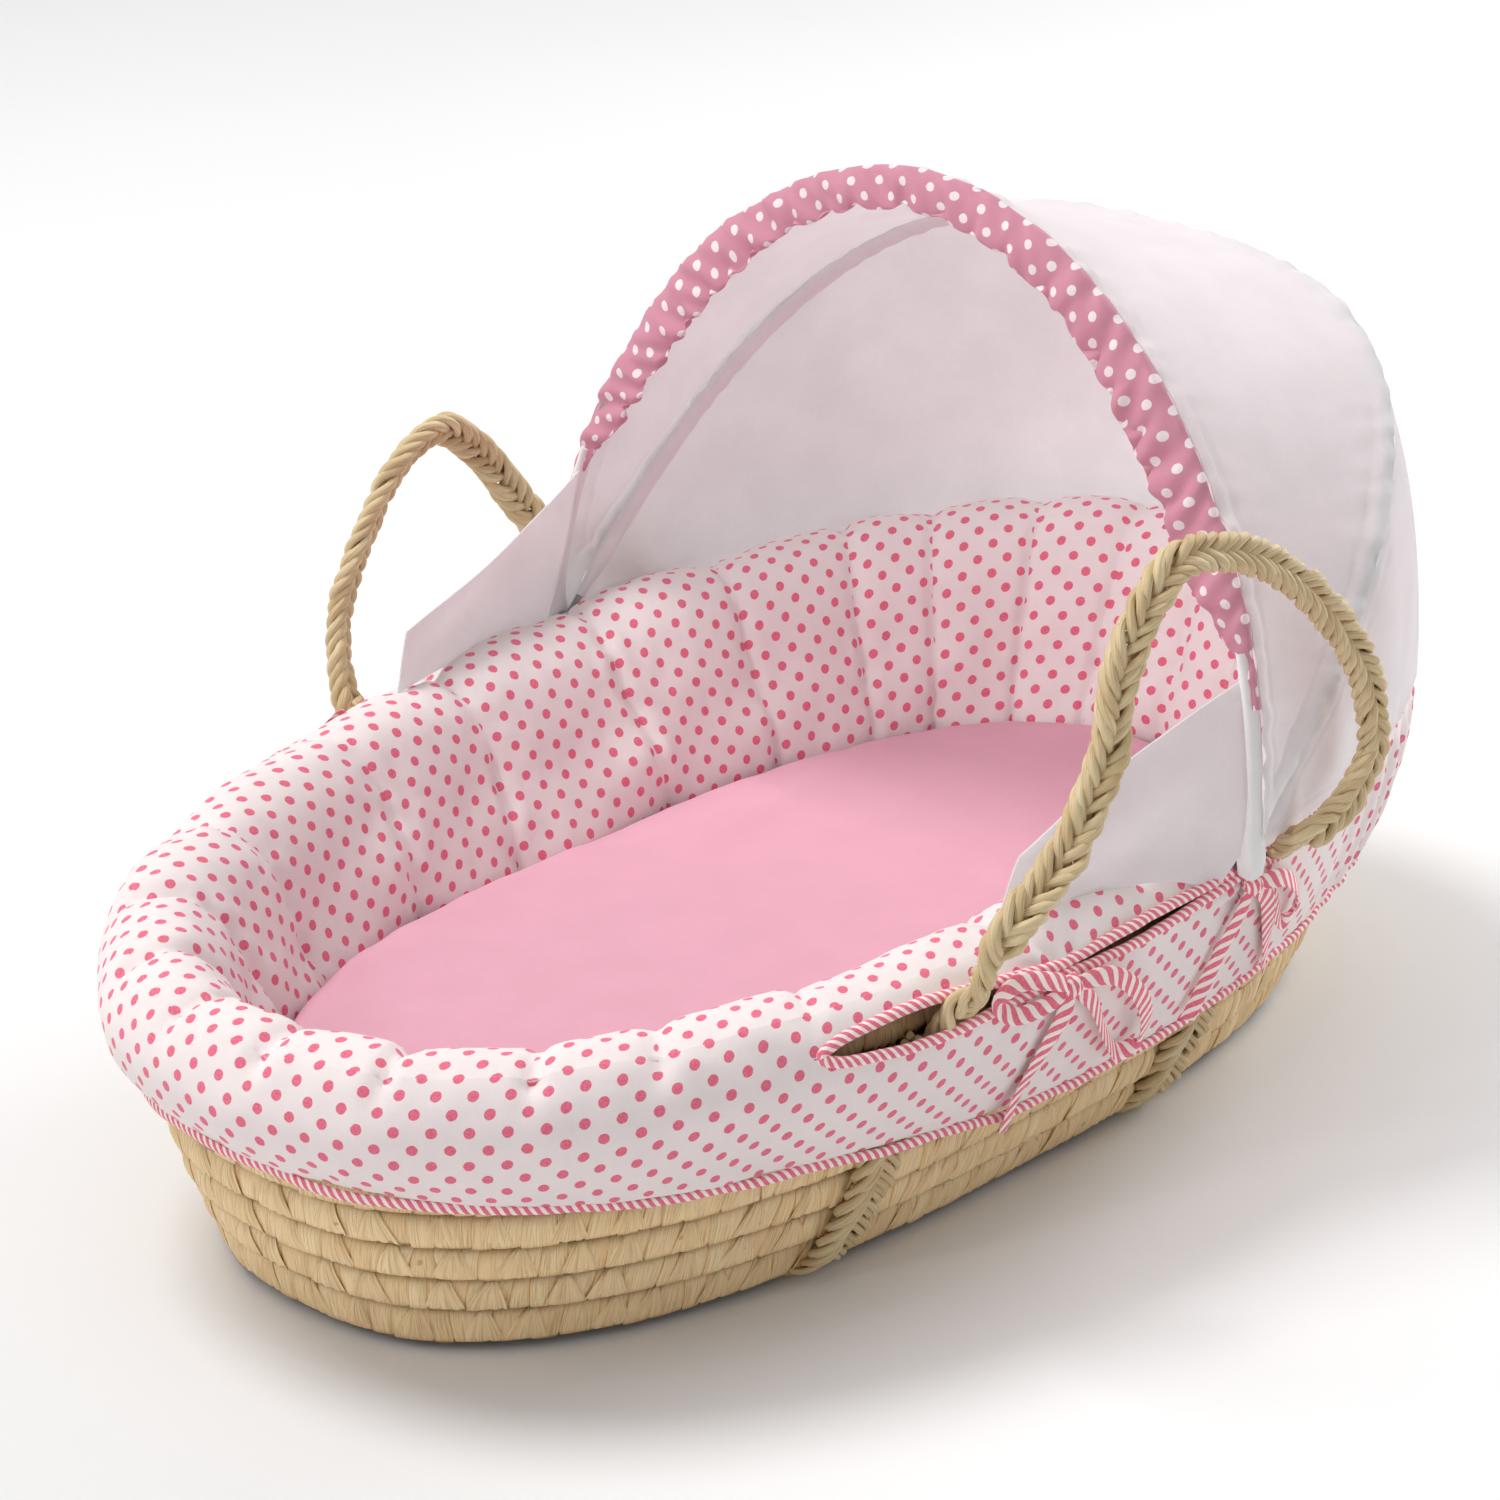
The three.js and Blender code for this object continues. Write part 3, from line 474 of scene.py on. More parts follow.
def cotton(name, ground, print_=None, dot_pitch=0.0179, dot_size=0.0028, crease=0.0004, sheer=0.0):
    """Woven cotton, plain or printed with a quincunx of dots, softly creased and a little uneven."""
    shader = Shader(name, 0.88, sheer, Sheen_Weight=0.15, Sheen_Roughness=0.5, Specular_IOR_Level=0.25)
    weave = threads(shader)
    place = shader.position()
    cloudy = shader.noise(place, 30.0, detail=3.0)
    base = shader.mix(shader.ramp(cloudy, 0.3, 0.7), ground, dimmed(ground, 0.965))
    slub = shader.ramp(weave, 0.8, 1.25, 0.0, 0.10)
    base = shader.mix(slub, base, dimmed(ground, 0.75))
    if print_ is not None:
        pitch, edge = 1 / dot_pitch, 0.0002
        noise = shader.node("ShaderNodeTexNoise", {"Vector": shader.uv(420, 420), "Scale": 1.0})
        wobble = shader.vector("SUBTRACT", noise.outputs["Color"], (0.5, 0.5, 0.5))
        uv = shader.vector("MULTIPLY_ADD", wobble, (0.03, 0.03, 0), shader.uv(pitch, pitch))
        distances = []
        for shift in (0.0, 0.5):
            moved = shader.vector("ADD", uv, (shift, shift, 0))
            cell = shader.vector("WRAP", moved, (0.5, 0.5, 1), (-0.5, -0.5, -1))
            distances.append(shader.vector("LENGTH", shader.vector("MULTIPLY", cell, (1, 1, 0))))
        nearest = shader.math("MINIMUM", *distances)
        dot = shader.ramp(nearest, (dot_size - edge) * pitch, (dot_size + edge) * pitch, 1.0, 0.0)
        worn = shader.ramp(shader.noise(shader.uv(900, 900), 1.0), 0.25, 0.75, 0.82, 1.0)
        base = shader.mix(shader.math("MULTIPLY", dot, worn), base, print_)
    rumple = shader.noise(place, 70.0, detail=3.0, distortion=0.4)
    return shader.finish(base, (rumple, crease), (weave, WEAVE_HEIGHT))


def striped(name, ground, stripe, pitch=0.0050, lean=0.85):
    """Cotton cut on the bias, so that its fine stripes cross the strip at a slant."""
    shader = Shader(name, 0.85, Sheen_Weight=0.12, Specular_IOR_Level=0.25)
    slanted = shader.node("ShaderNodeSeparateXYZ", {0: shader.uv(1 / pitch, lean / pitch)})
    along = shader.math("ADD", slanted.outputs[0], slanted.outputs[1])
    wobble = shader.noise(shader.uv(300, 300), 1.0)
    phase = shader.math("FRACT", shader.math("ADD", along, shader.math("MULTIPLY", wobble, 0.12)))
    band = shader.math("ABSOLUTE", shader.math("SUBTRACT", phase, 0.5))
    line = shader.ramp(band, 0.24, 0.30, 1.0, 0.0)
    weave = threads(shader)
    worn = shader.ramp(shader.noise(shader.uv(900, 900), 1.0), 0.2, 0.8, 0.85, 1.0)
    base = shader.mix(shader.math("MULTIPLY", line, worn), ground, stripe)
    rumple = shader.noise(shader.position(), 160.0, detail=2.0)
    return shader.finish(base, (rumple, 0.0005), (weave, WEAVE_HEIGHT))


def husk(name, pale, deep, dark, along_u=True):
    """Dried husk: long fibres, strips of slightly different age, dull brown flecks, and painted shade where
    the tone runs above 0.9, as in the grooves between coils.
    """
    shader = Shader(name, 0.55, Specular_IOR_Level=0.4)
    stretch = (FIBRES_PER_METRE * 0.03, FIBRES_PER_METRE)
    if not along_u:
        stretch = stretch[::-1]
    fibres = shader.noise(shader.uv(*stretch), 1.0, detail=3.0, roughness=0.6)
    broad = shader.noise(shader.uv(stretch[0] * 0.25, stretch[1] * 0.25), 1.0, detail=2.0)
    base = shader.mix(shader.tone(), pale, deep)
    # Painted shade: where the tone runs above 0.9, in the gaps between coil rows, the straw is darkened
    # towards a dim brown.
    base = shader.mix(shader.ramp(shader.tone(), 0.9, 1.8), base, dimmed(dark, 0.35))
    base = shader.mix(shader.ramp(fibres, 0.42, 0.75, 0.0, 0.55), base, dark)
    base = shader.mix(shader.ramp(broad, 0.35, 0.7, 0.0, 0.35), base, deep)
    fleck = shader.noise(shader.position(), 130.0, detail=2.0)
    base = shader.mix(shader.ramp(fleck, 0.70, 0.80, 0.0, 0.45), base, dark)
    return shader.finish(base, (broad, 0.0006), (fibres, 0.00022))


def plain(name, base, roughness, metallic=0.0, bump=0.0001, scale=400.0):
    """Metal, plastic or foam with fine grain and a little unevenness."""
    shader = Shader(name, roughness, Metallic=metallic)
    grain = shader.noise(shader.position(), scale, detail=3.0)
    return shader.finish(shader.mix(grain, base, dimmed(base, 0.94)), (grain, bump))


OFF_WHITE = colour(244, 232, 231)
DOT_PINK = colour(231, 92, 126)
STRAW = husk("straw", colour(255, 229, 182), colour(241, 204, 150), colour(132, 88, 44), along_u=False)
BRAID = husk("straw_braid", colour(228, 208, 168), colour(202, 174, 126), colour(132, 100, 60))
DOTTED = cotton("dotted_cotton", OFF_WHITE, DOT_PINK)
STRIPED = striped("striped_binding", colour(252, 238, 234), colour(234, 100, 128))
PINK_SHEET = cotton("pink_sheet", colour(229, 170, 188), crease=0.0003)
PINK_DOTTED = cotton("pink_dotted_sleeve", colour(215, 148, 167), colour(250, 240, 242),
                     dot_pitch=0.0200, dot_size=0.0029, sheer=0.15)
WHITE_COTTON = cotton("white_cotton", colour(250, 248, 249), sheer=0.50)
WHITE_TAPE = cotton("white_tape", colour(240, 237, 238))
FOAM = plain("foam", colour(242, 236, 216), 0.95, bump=0.0004, scale=900.0)
ELASTIC = striped("elastic", colour(248, 248, 248), colour(226, 226, 228), pitch=0.0012, lean=0.0)
WIRE = plain("spring_wire", colour(170, 174, 178), 0.35, metallic=1.0, bump=0.00003)
WHITE_PLASTIC = plain("white_plastic", colour(240, 240, 238), 0.45)
for node, material in (
    ("front_hoop", WIRE), ("rear_hoop", WIRE), ("pivot_pin_near", WIRE), ("pivot_pin_far", WIRE),
    ("pivot_bracket_near", WHITE_PLASTIC), ("pivot_bracket_far", WHITE_PLASTIC),
):
    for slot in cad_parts[node].material_slots:
        slot.material = material


def place_on(piece, body, slot, *nodes):
    """Says which body a piece rides on, and hides the CAD nodes that it stands for; slot, its finish, is not
    used.
    """
    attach(piece, body)
    if nodes:
        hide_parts(*nodes)
    return piece


# ---- Weave: coils of straw, wrapped with husk and tied to the coil above ----------------------------

ROW = 0.0250
WRAP_WIDTHS = (0.009, 0.022)
FAN_PITCH = 0.0305
COIL_OUT = 0.0084
COIL_HALF_HEIGHT = 0.0111
COIL_SQUARENESS = 2.25
# Across one wrap of husk: shares of its width, and how far each stands out.
WRAP_SHARES = np.array([0.0, 0.045, 0.25, 0.5, 0.75, 0.95])
WRAP_CROWNS = np.array([-0.0006, 0.0004, 0.0007, 0.0006, 0.0003, -0.0001])
RIM_COIL = 0.0095
BASE_COIL, BASE_COIL_HALF_HEIGHT, BASE_COILS = 0.0086, 0.0056, 8
SEAM_TONE = 0.85
FAN_NECK = 0.26
FAN_TOP_ANGLE, FAN_BOTTOM_ANGLE = 120, -66
FAN_NECK_HALF_WIDTH, FAN_HALF_WIDTH = 0.0022, 0.0104
# Outline of a coil with a lower lip: degrees, then out and height as shares of the coil's half sizes.
LIPPED = np.array([
    (-180, -1.00, 0.00), (-150, -0.92, -0.60), (-115, -0.50, -0.92), (-88, 0.50, -0.96), (-70, 1.02, -1.00),
    (-55, 1.18, -0.92), (-38, 1.15, -0.66), (-12, 1.05, -0.24), (16, 0.92, 0.22), (42, 0.72, 0.56),
    (64, 0.42, 0.82), (90, 0.00, 0.96), (118, -0.50, 0.96), (150, -0.92, 0.60), (180, -1.00, 0.00),
])
LIPPED_ANGLES = np.radians(LIPPED[:-1, 0])


def coil_outline(across, high, lipped, angles):
    """Section of one coil as (out, height) pairs: round, or with a lower lip that overhangs."""
    if lipped:
        degrees = np.degrees(angles)
        return (across * np.interp(degrees, LIPPED[:, 0], LIPPED[:, 1]),
                high * np.interp(degrees, LIPPED[:, 0], LIPPED[:, 2]))
    return oval(across, high, COIL_SQUARENESS, angles)


def coil_row(pile, place, height, across, high, lipped, seed):
    """One coil all round the basket. place(out, height, turn) gives its points."""
    rng = np.random.default_rng(seed)
    dense = np.linspace(0, TAU, 2401)
    travelled = lengths(place(across, height, dense))
    total = travelled[-1]
    widths = rng.uniform(*WRAP_WIDTHS, size=int(total / WRAP_WIDTHS[0]))
    count = int(np.searchsorted(np.cumsum(widths), total)) + 1
    widths = widths[:count] * total / widths[:count].sum()
    starts = np.concatenate([[0], np.cumsum(widths)[:-1]])
    along = (starts[:, None] + widths[:, None] * WRAP_SHARES).ravel()
    step = rng.uniform(-0.0003, 0.0004, count)[:, None]
    crown = (WRAP_CROWNS + step).ravel()
    slant = rng.uniform(-0.0022, 0.0022, count)
    slant = np.interp(along, np.append(starts, total), np.append(slant, slant[0]))
    ragged = np.repeat(rng.uniform(-0.0002, 0.0012, count), len(WRAP_SHARES))
    tone = np.repeat(rng.uniform(0, 0.75, count) ** 1.4, len(WRAP_SHARES))
    tone[::len(WRAP_SHARES)] = SEAM_TONE
    angles = LIPPED_ANGLES if lipped else np.arange(12) / 12 * TAU
    around = len(angles)
    out, up = coil_outline(across, high, lipped, angles)
    sheared = (along[:, None] + slant[:, None] * np.sin(angles)) % total
    turn = np.interp(sheared, travelled, dense)
    middle = place(across, height, np.interp(along, travelled, dense))
    drift = 0.0006 * ripple(middle, 0.09, seed + 50)
    outs = out[None, :] + crown[:, None] * np.clip(0.4 + np.cos(angles), 0, 1)[None, :] + drift[:, None]
    ups = height + up[None, :] - ragged[:, None] * (np.sin(angles) < -0.3)[None, :]
    rings = place(outs, ups, turn)
    section = np.stack([np.append(out, out[0]), np.append(up, up[0])], -1)
    edge_v = lengths(section)
    u = np.broadcast_to(np.append(along, total)[:, None], (len(along) + 1, around + 1))
    v = np.broadcast_to(edge_v[None, :], (len(along) + 1, around + 1))
    # Painted shade: the tone is raised on the coil's upper and lower faces, where the gaps between rows lie,
    # so that the husk shader darkens the straw there.
    painted_groove_shade = 1.5 * smooth((np.abs(np.degrees(angles) - 6) - 46) / 26)
    pile.loop(rings, grid_uv(u, v), tone[:, None] + painted_groove_shade[None, :])
    return travelled, dense


def fans(pile, place, height, across, high, lipped, seed, travelled, dense):
    """The ties between coils: each flares from a pinched neck down over its own coil."""
    rng = np.random.default_rng(seed + 900)
    total = travelled[-1]
    count = int(total / FAN_PITCH)
    offset = (seed % 2) * 0.5
    centres = (np.arange(count) + offset + rng.uniform(-0.17, 0.17, count)) * total / count
    down = np.linspace(0, 1, 12)
    face = np.linspace(-1, 1, 15)
    q = np.concatenate([face, [0.7, 0.0, -0.7]])
    back = np.arange(len(q)) >= len(face)
    for centre in centres:
        size = rng.uniform(0.78, 1.12)
        slant = rng.uniform(-0.004, 0.004)
        spread = np.clip((down - FAN_NECK) / 0.62, 0, 1) ** 0.95
        half = lerp(FAN_NECK_HALF_WIDTH, FAN_HALF_WIDTH * size, spread)
        along = centre + slant * down[:, None] + q[None, :] * half[:, None]
        angle = np.radians(lerp(FAN_TOP_ANGLE, FAN_BOTTOM_ANGLE, down))
        out, up = coil_outline(across, high, lipped, angle)
        ridges = 0.0006 * np.sin(q * 11 + centre * 300) * np.clip(down[:, None] * 1.6, 0, 1)
        bulge = 0.0022 * np.sin(np.pi * np.clip(down * 0.8 + 0.2, 0, 1)) ** 0.5
        knot = 0.0016 * hump(down - FAN_NECK, 0.10)
        lift = (bulge + knot)[:, None] * (1 - 0.55 * np.abs(q) ** 2.5) + ridges
        out = out[:, None] + np.where(back, -0.0010, lift)
        ups = height + up[:, None] - 0.0006 * rng.uniform(0, 1, len(q)) * (down[:, None] > 0.9)
        turn = np.interp(along % total, travelled, dense)
        rings = place(out + 0 * along, ups + 0 * along, turn)
        pile.tube(rings, down * 0.02 + centre, np.append(q * 0.008, q[0] * 0.008), rng.uniform(0, 0.45),
                  turned=True)


def make_wall():
    pile = Pile()
    rows = int(round((WALL_TOP - BASE_BOTTOM) / ROW))
    for row in range(rows):
        height = BASE_BOTTOM + ROW * (row + 0.5)
        found = coil_row(pile, wall_point, height, COIL_OUT, COIL_HALF_HEIGHT, True, 10 + row)
        fans(pile, wall_point, height, COIL_OUT, COIL_HALF_HEIGHT, True, 10 + row, *found)
    place_on(pile.build("woven_wall", STRAW, sharp=60), "root", "straw", "basket_wall")


def make_rim():
    pile = Pile()
    found = coil_row(pile, wall_point, RIM_HEIGHT, RIM_COIL, RIM_COIL, False, 40)
    fans(pile, wall_point, RIM_HEIGHT, RIM_COIL, RIM_COIL, False, 40, *found)
    place_on(pile.build("woven_rim", STRAW, sharp=60), "root", "straw", "basket_rim")


def make_base():
    pile = Pile()
    middle = (BASE_BOTTOM + BASE_TOP) / 2
    for ring in range(BASE_COILS):
        inset = WALL_HALF + BASE_COIL + 2 * BASE_COIL * ring

        def place(out, height, turn, inset=inset):
            squareness = BASE_SQUARENESS - 0.06 * (inset / BASE_COIL)
            x, y = oval(BASE_HALF_LENGTH - inset + out, BASE_HALF_WIDTH - inset + out, squareness, turn)
            return np.stack([x, y, height + 0 * x], -1)

        coil_row(pile, place, middle, BASE_COIL, BASE_COIL_HALF_HEIGHT, False, 60 + ring)
    place_on(pile.build("woven_base", STRAW, sharp=60), "root", "straw", "basket_base")


make_wall()
make_rim()
make_base()

# ---- Plaited handles and bands ---------------------------------------------------------------------


BRAID_HALF_WIDTH, BRAID_HALF_THICKNESS, BRAID_PERIOD = 0.0106, 0.0060, 0.062
BAND_HALF_WIDTH, BAND_PERIOD = 0.0165, 0.058
FOOT_REACH, HEAD_REACH = 0.041, 0.050


def plait(name, path, face, half_width, half_thickness, period, strands=7, cords=1, seed=0):
    """A flat plait along a path; each strand is one cord, or a few cords side by side.

    face gives the direction its flat side looks, at each point.
    """
    travelled = lengths(path)
    tangent = unit(np.gradient(path, axis=0))
    face = unit(face - (face * tangent).sum(-1, keepdims=True) * tangent)
    side = np.cross(tangent, face)
    rng = np.random.default_rng(seed)
    pile = Pile()
    around = 9
    angles = np.arange(around) / around * TAU
    thick = half_thickness * 0.44
    across = half_width * 0.26 / cords
    for strand, cord in ((s, c) for s in range(strands) for c in range(cords)):
        number = strand * cords + cord
        phase = TAU * (travelled / period + strand / strands) + 0.16 * ripple(path, 0.09, seed + 7 * strand)
        fat = 1 + 0.10 * ripple(path, 0.04, seed + 11 * number)
        sway = (half_width - across * cords) * np.sin(phase)
        lift = (half_thickness - thick) * np.sin(2 * phase)
        centre = path + side * sway[:, None] + face * np.broadcast_to(lift, len(path))[:, None]
        ahead = unit(np.gradient(centre, axis=0))
        beside = unit(np.cross(ahead, face))
        above = np.cross(beside, ahead)
        apart = (cord - (cords - 1) / 2) * 1.85 * across
        wander = 0.25 * across * ripple(path, 0.05, seed + 17 * number)
        centre = centre + beside * (apart + wander)[:, None] + above * (
            0.18 * thick * ripple(path, 0.03, seed + 19 * number))[:, None]
        ribs = 1 + 0.07 * np.cos(4 * angles[None, :] + travelled[:, None] * 420 + rng.uniform(0, TAU))
        rings = (centre[:, None, :]
                 + beside[:, None, :] * ((across * fat)[:, None] * np.cos(angles) * ribs)[..., None]
                 + above[:, None, :] * ((thick * fat)[:, None] * np.sin(angles) * ribs)[..., None])
        v = np.arange(around + 1) / around * TAU * across
        pile.tube(rings, travelled + number * 0.7, v, 0.30 + 0.3 * ripple(path, 0.03, seed + 13 * number))
    return pile.build(name, BRAID, sharp=70)


def slit_angle(x):
    """How far round the padded roll the slit lies, in degrees up from level."""
    return lerp(24, 10, smooth((x + 0.20) / 0.20))


def handle_path(arch, side, spacing=0.0013):
    """From inside the slit, out through it, over the arch and back in at the other foot."""
    def inside(x, reach):
        half, rim, angle = rim_half_width(x), risen(RIM_HEIGHT, x), math.radians(slit_angle(x))
        out, up = math.cos(angle), math.sin(angle)
        return [
            (x, side * (half + 0.015), rim - 0.036),
            (x, side * (half + 0.0175), rim - 0.008),
            (x, side * (half + 0.031 * out), rim + 0.031 * up),
            (x, side * (half + reach * out), rim + reach * up + 0.008),
        ]

    over = []
    for x, up in arch[1:-1]:
        inwards = 0.006 * (1 - smooth(up / 0.030)) if x < 0 else 0
        out = HANDLE_PIVOT_Y + 0.006 * smooth(up / 0.040) - inwards
        over.append((x, side * out, HANDLE_PIVOT_Z + up))
    points = inside(arch[0][0] + 0.010, FOOT_REACH) + over
    points += inside(arch[-1][0] + 0.002, HEAD_REACH)[::-1]
    return resampled(points, spacing)


def make_handle(name, arch, side, seed):
    path = handle_path(arch, side)
    travelled = lengths(path) / lengths(path)[-1]
    lean = 0.9 * np.sin(travelled * TAU * 0.75 + 0.4)
    face = np.stack([0 * lean, side * np.cos(lean), 0.35 + np.sin(lean) * 0.6], -1)
    piece = plait(name, path, face, BRAID_HALF_WIDTH, BRAID_HALF_THICKNESS, BRAID_PERIOD, seed=seed)
    foot = (0, side * HANDLE_PIVOT_Y, HANDLE_PIVOT_Z - 0.012)
    knee = (0, side * HANDLE_PIVOT_Y, HANDLE_PIVOT_Z + 0.022)
    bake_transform(piece, "root", f"handle_{'near' if side < 0 else 'far'}", start=foot, end=knee)
    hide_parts(f"handle_{'near' if side < 0 else 'far'}")


make_handle("plaited_handle_near", NEAR_ARCH, -1, 3)
make_handle("plaited_handle_far", FAR_ARCH, 1, 5)


def wall_half_width(height, x):
    open_ = flare(height)
    squareness = lerp(BASE_SQUARENESS, RIM_SQUARENESS, open_)
    share = abs(x / lerp(BASE_HALF_LENGTH, RIM_HALF_LENGTH, open_)) ** squareness
    return lerp(BASE_HALF_WIDTH, RIM_HALF_WIDTH, open_) * (1 - share) ** (1 / squareness)


def band_length(feet, y):
    share = abs(y) / HANDLE_PIVOT_Y
    return lerp(feet[0], feet[1], 0.5 + y / (2 * HANDLE_PIVOT_Y)) - BAND_BOW * (1 - share)


def make_band(name, feet, seed):
    """A flat plait down the near wall, under the base and up the far wall."""
    def half_band(side):
        x = feet[0] if side < 0 else feet[1]
        stations = []
        foot = wall_half_width(BASE_BOTTOM, band_length(feet, side * BASE_HALF_WIDTH)) + 0.004
        for y in (0.040, 0.090, foot - 0.012):
            stations.append((y, 0.0026, 0.0024, (0, 0, -1)))
        stations.append((foot + 0.0065, 0.0068, 0.0040, (0, 0.7, -0.7)))
        for height in (0.020, 0.042, 0.066, 0.090, 0.122):
            at = band_length(feet, side * RIM_HALF_WIDTH)
            clear = 0.0080 if height < HEM_HEIGHT else 0.0066
            y = wall_half_width(height, at) + WALL_HALF + clear
            stations.append((y, risen(height, at), 0.0056, (0, 1, -0.45)))
        rim = rim_half_width(x)
        stations.append((rim + 0.0165, risen(RIM_HEIGHT, x) - 0.014, 0.0045, (0, 1, -0.2)))
        stations.append((rim + 0.0190, risen(RIM_HEIGHT, x) - 0.002, 0.0045, (0, 1, -0.2)))
        return [(side * y, z, thick, (0, side * n[1], n[2])) for y, z, thick, n in stations]

    stations = half_band(-1)[::-1] + half_band(1)
    points = np.array([(band_length(feet, y), y, z) for y, z, _, _ in stations])
    path = resampled(points, 0.0015)
    known = lengths(points)
    at = lengths(path) / lengths(path)[-1] * known[-1]
    thick = np.interp(at, known, [s[2] for s in stations])
    face = np.stack([np.interp(at, known, [s[3][k] for s in stations]) for k in range(3)], -1)
    path[:, 2] = np.maximum(path[:, 2], thick + 0.0001)
    piece = plait(name, path, face, BAND_HALF_WIDTH, thick, BAND_PERIOD, strands=5, cords=2, seed=seed)
    place_on(piece, "root", "straw_braid", name.replace("plaited_", ""))


make_band("plaited_band_foot", NEAR_FEET[:1] + FAR_FEET[:1], 21)
make_band("plaited_band_head", NEAR_FEET[1:] + FAR_FEET[1:], 22)

# ---- Liner: a pad inside and over the rim, and a skirt outside ---------------------------------------

COLUMNS = 600
SEAM_ANGLE = 64
MEASURED_ANGLE = 30
RIM_COVER_RADIUS = 0.013
# Inner face of the pad as (out from the rim's middle line, height), upwards.
PAD_PROFILE = [
    (-0.0680, 0.030), (-0.0682, 0.060), (-0.0675, 0.092), (-0.0600, 0.113), (-0.0500, 0.136),
    (-0.0395, 0.158), (-0.0300, 0.175),
]
DART_SPACING_END, DART_SPACING_SIDE = 0.066, 0.112
TURNS = even_turns(lambda turn: rim_point(PAD_RADIUS, MEASURED_ANGLE, turn), COLUMNS)
CLOSED_TURNS = np.append(TURNS, TAU)


def pad_point(out, height, turn):
    """A point beside the rim's middle line, near it or down inside the basket."""
    squareness = lerp(RIM_SQUARENESS, BASE_SQUARENESS, np.clip((RIM_HEIGHT - height) / 0.07, 0, 1))
    x, y = oval(RIM_HALF_LENGTH + out, RIM_HALF_WIDTH + out, squareness, turn)
    share = np.clip((height - LEVEL_HEIGHT) / (RIM_HEIGHT - LEVEL_HEIGHT), 0, 1)
    return np.stack([x, y, height + HEAD_RISE * share * x / RIM_HALF_LENGTH], -1)


def dart_places(travelled):
    """Lengths round the rim at which the pad is tucked, closer together round the two ends."""
    total = travelled[-1]
    rng = np.random.default_rng(4)
    places, at = [0.0], 0.0
    while True:
        x = oval(RIM_HALF_LENGTH, RIM_HALF_WIDTH, RIM_SQUARENESS,
                 np.interp(at, travelled, CLOSED_TURNS))[0]
        spacing = lerp(DART_SPACING_SIDE, DART_SPACING_END, smooth((abs(x) - 0.20) / 0.10))
        at += spacing * rng.uniform(0.88, 1.12)
        if at > total - 0.045:
            return np.array(places + [total])
        places.append(at)


def panel_uv(rows, darts, reference):
    """U for each face corner: true length along its row, measured from the middle of its panel."""
    travelled = lengths(np.concatenate([rows, rows[:, :1]], axis=1), axis=1)
    number = np.searchsorted(darts, (reference[:-1] + reference[1:]) / 2) - 1
    centres = (darts[:-1] + darts[1:]) / 2
    at_centre = np.stack([np.interp(centres, reference, row) for row in travelled])
    shift = (centres[number][None, :] - at_centre[:, number])
    return travelled[:, :-1] + shift, travelled[:, 1:] + shift


def corner_uv(left, right, v):
    """UVs of a closed grid's faces, given U on both sides of each face and V at each row and column."""
    v = np.concatenate([v, v[:, :1]], axis=1)
    u = np.stack([left[:-1], right[:-1], right[1:], left[1:]], -1)
    vv = np.stack([v[:-1, :-1], v[:-1, 1:], v[1:, 1:], v[1:, :-1]], -1)
    return np.stack([u, vv], -1).reshape(-1, 2)


REFERENCE = lengths(rim_point(PAD_RADIUS, MEASURED_ANGLE, CLOSED_TURNS))
DARTS = dart_places(REFERENCE)


def between_darts():
    """For each column: how near a dart is, and its place from 0 to 1 between two darts."""
    at = REFERENCE[:-1]
    k = np.clip(np.searchsorted(DARTS, at, side="right") - 1, 0, len(DARTS) - 2)
    share = (at - DARTS[k]) / (DARTS[k + 1] - DARTS[k])
    near = np.minimum(at - DARTS[k], DARTS[k + 1] - at)
    return near, share


NEAR_DART, PANEL_SHARE = between_darts()


def rim_relief(points, seam_depth):
    """How far the padded cloth stands out: soft bellies between the darts, tucks and creases."""
    belly = 4 * PANEL_SHARE * (1 - PANEL_SHARE)
    valley = hump(NEAR_DART, 0.0055)
    close = np.exp(-NEAR_DART / 0.022)
    fine = ripple(points, 0.020, 31) * (0.25 + 0.9 * close)
    broad = ripple(points, 0.085, 32, stretch=(1, 1, 1.8))
    toe = smooth((-points[..., 0] - 0.26) / 0.08)
    relief = seam_depth * (0.0028 * belly - (0.0034 + 0.0026 * toe) * valley)
    pucker = ripple(points, 0.011, 33) * np.exp(-NEAR_DART / 0.012)
    return relief + 0.0012 * broad + (0.0007 * fine + 0.0006 * pucker) * (0.4 + seam_depth)


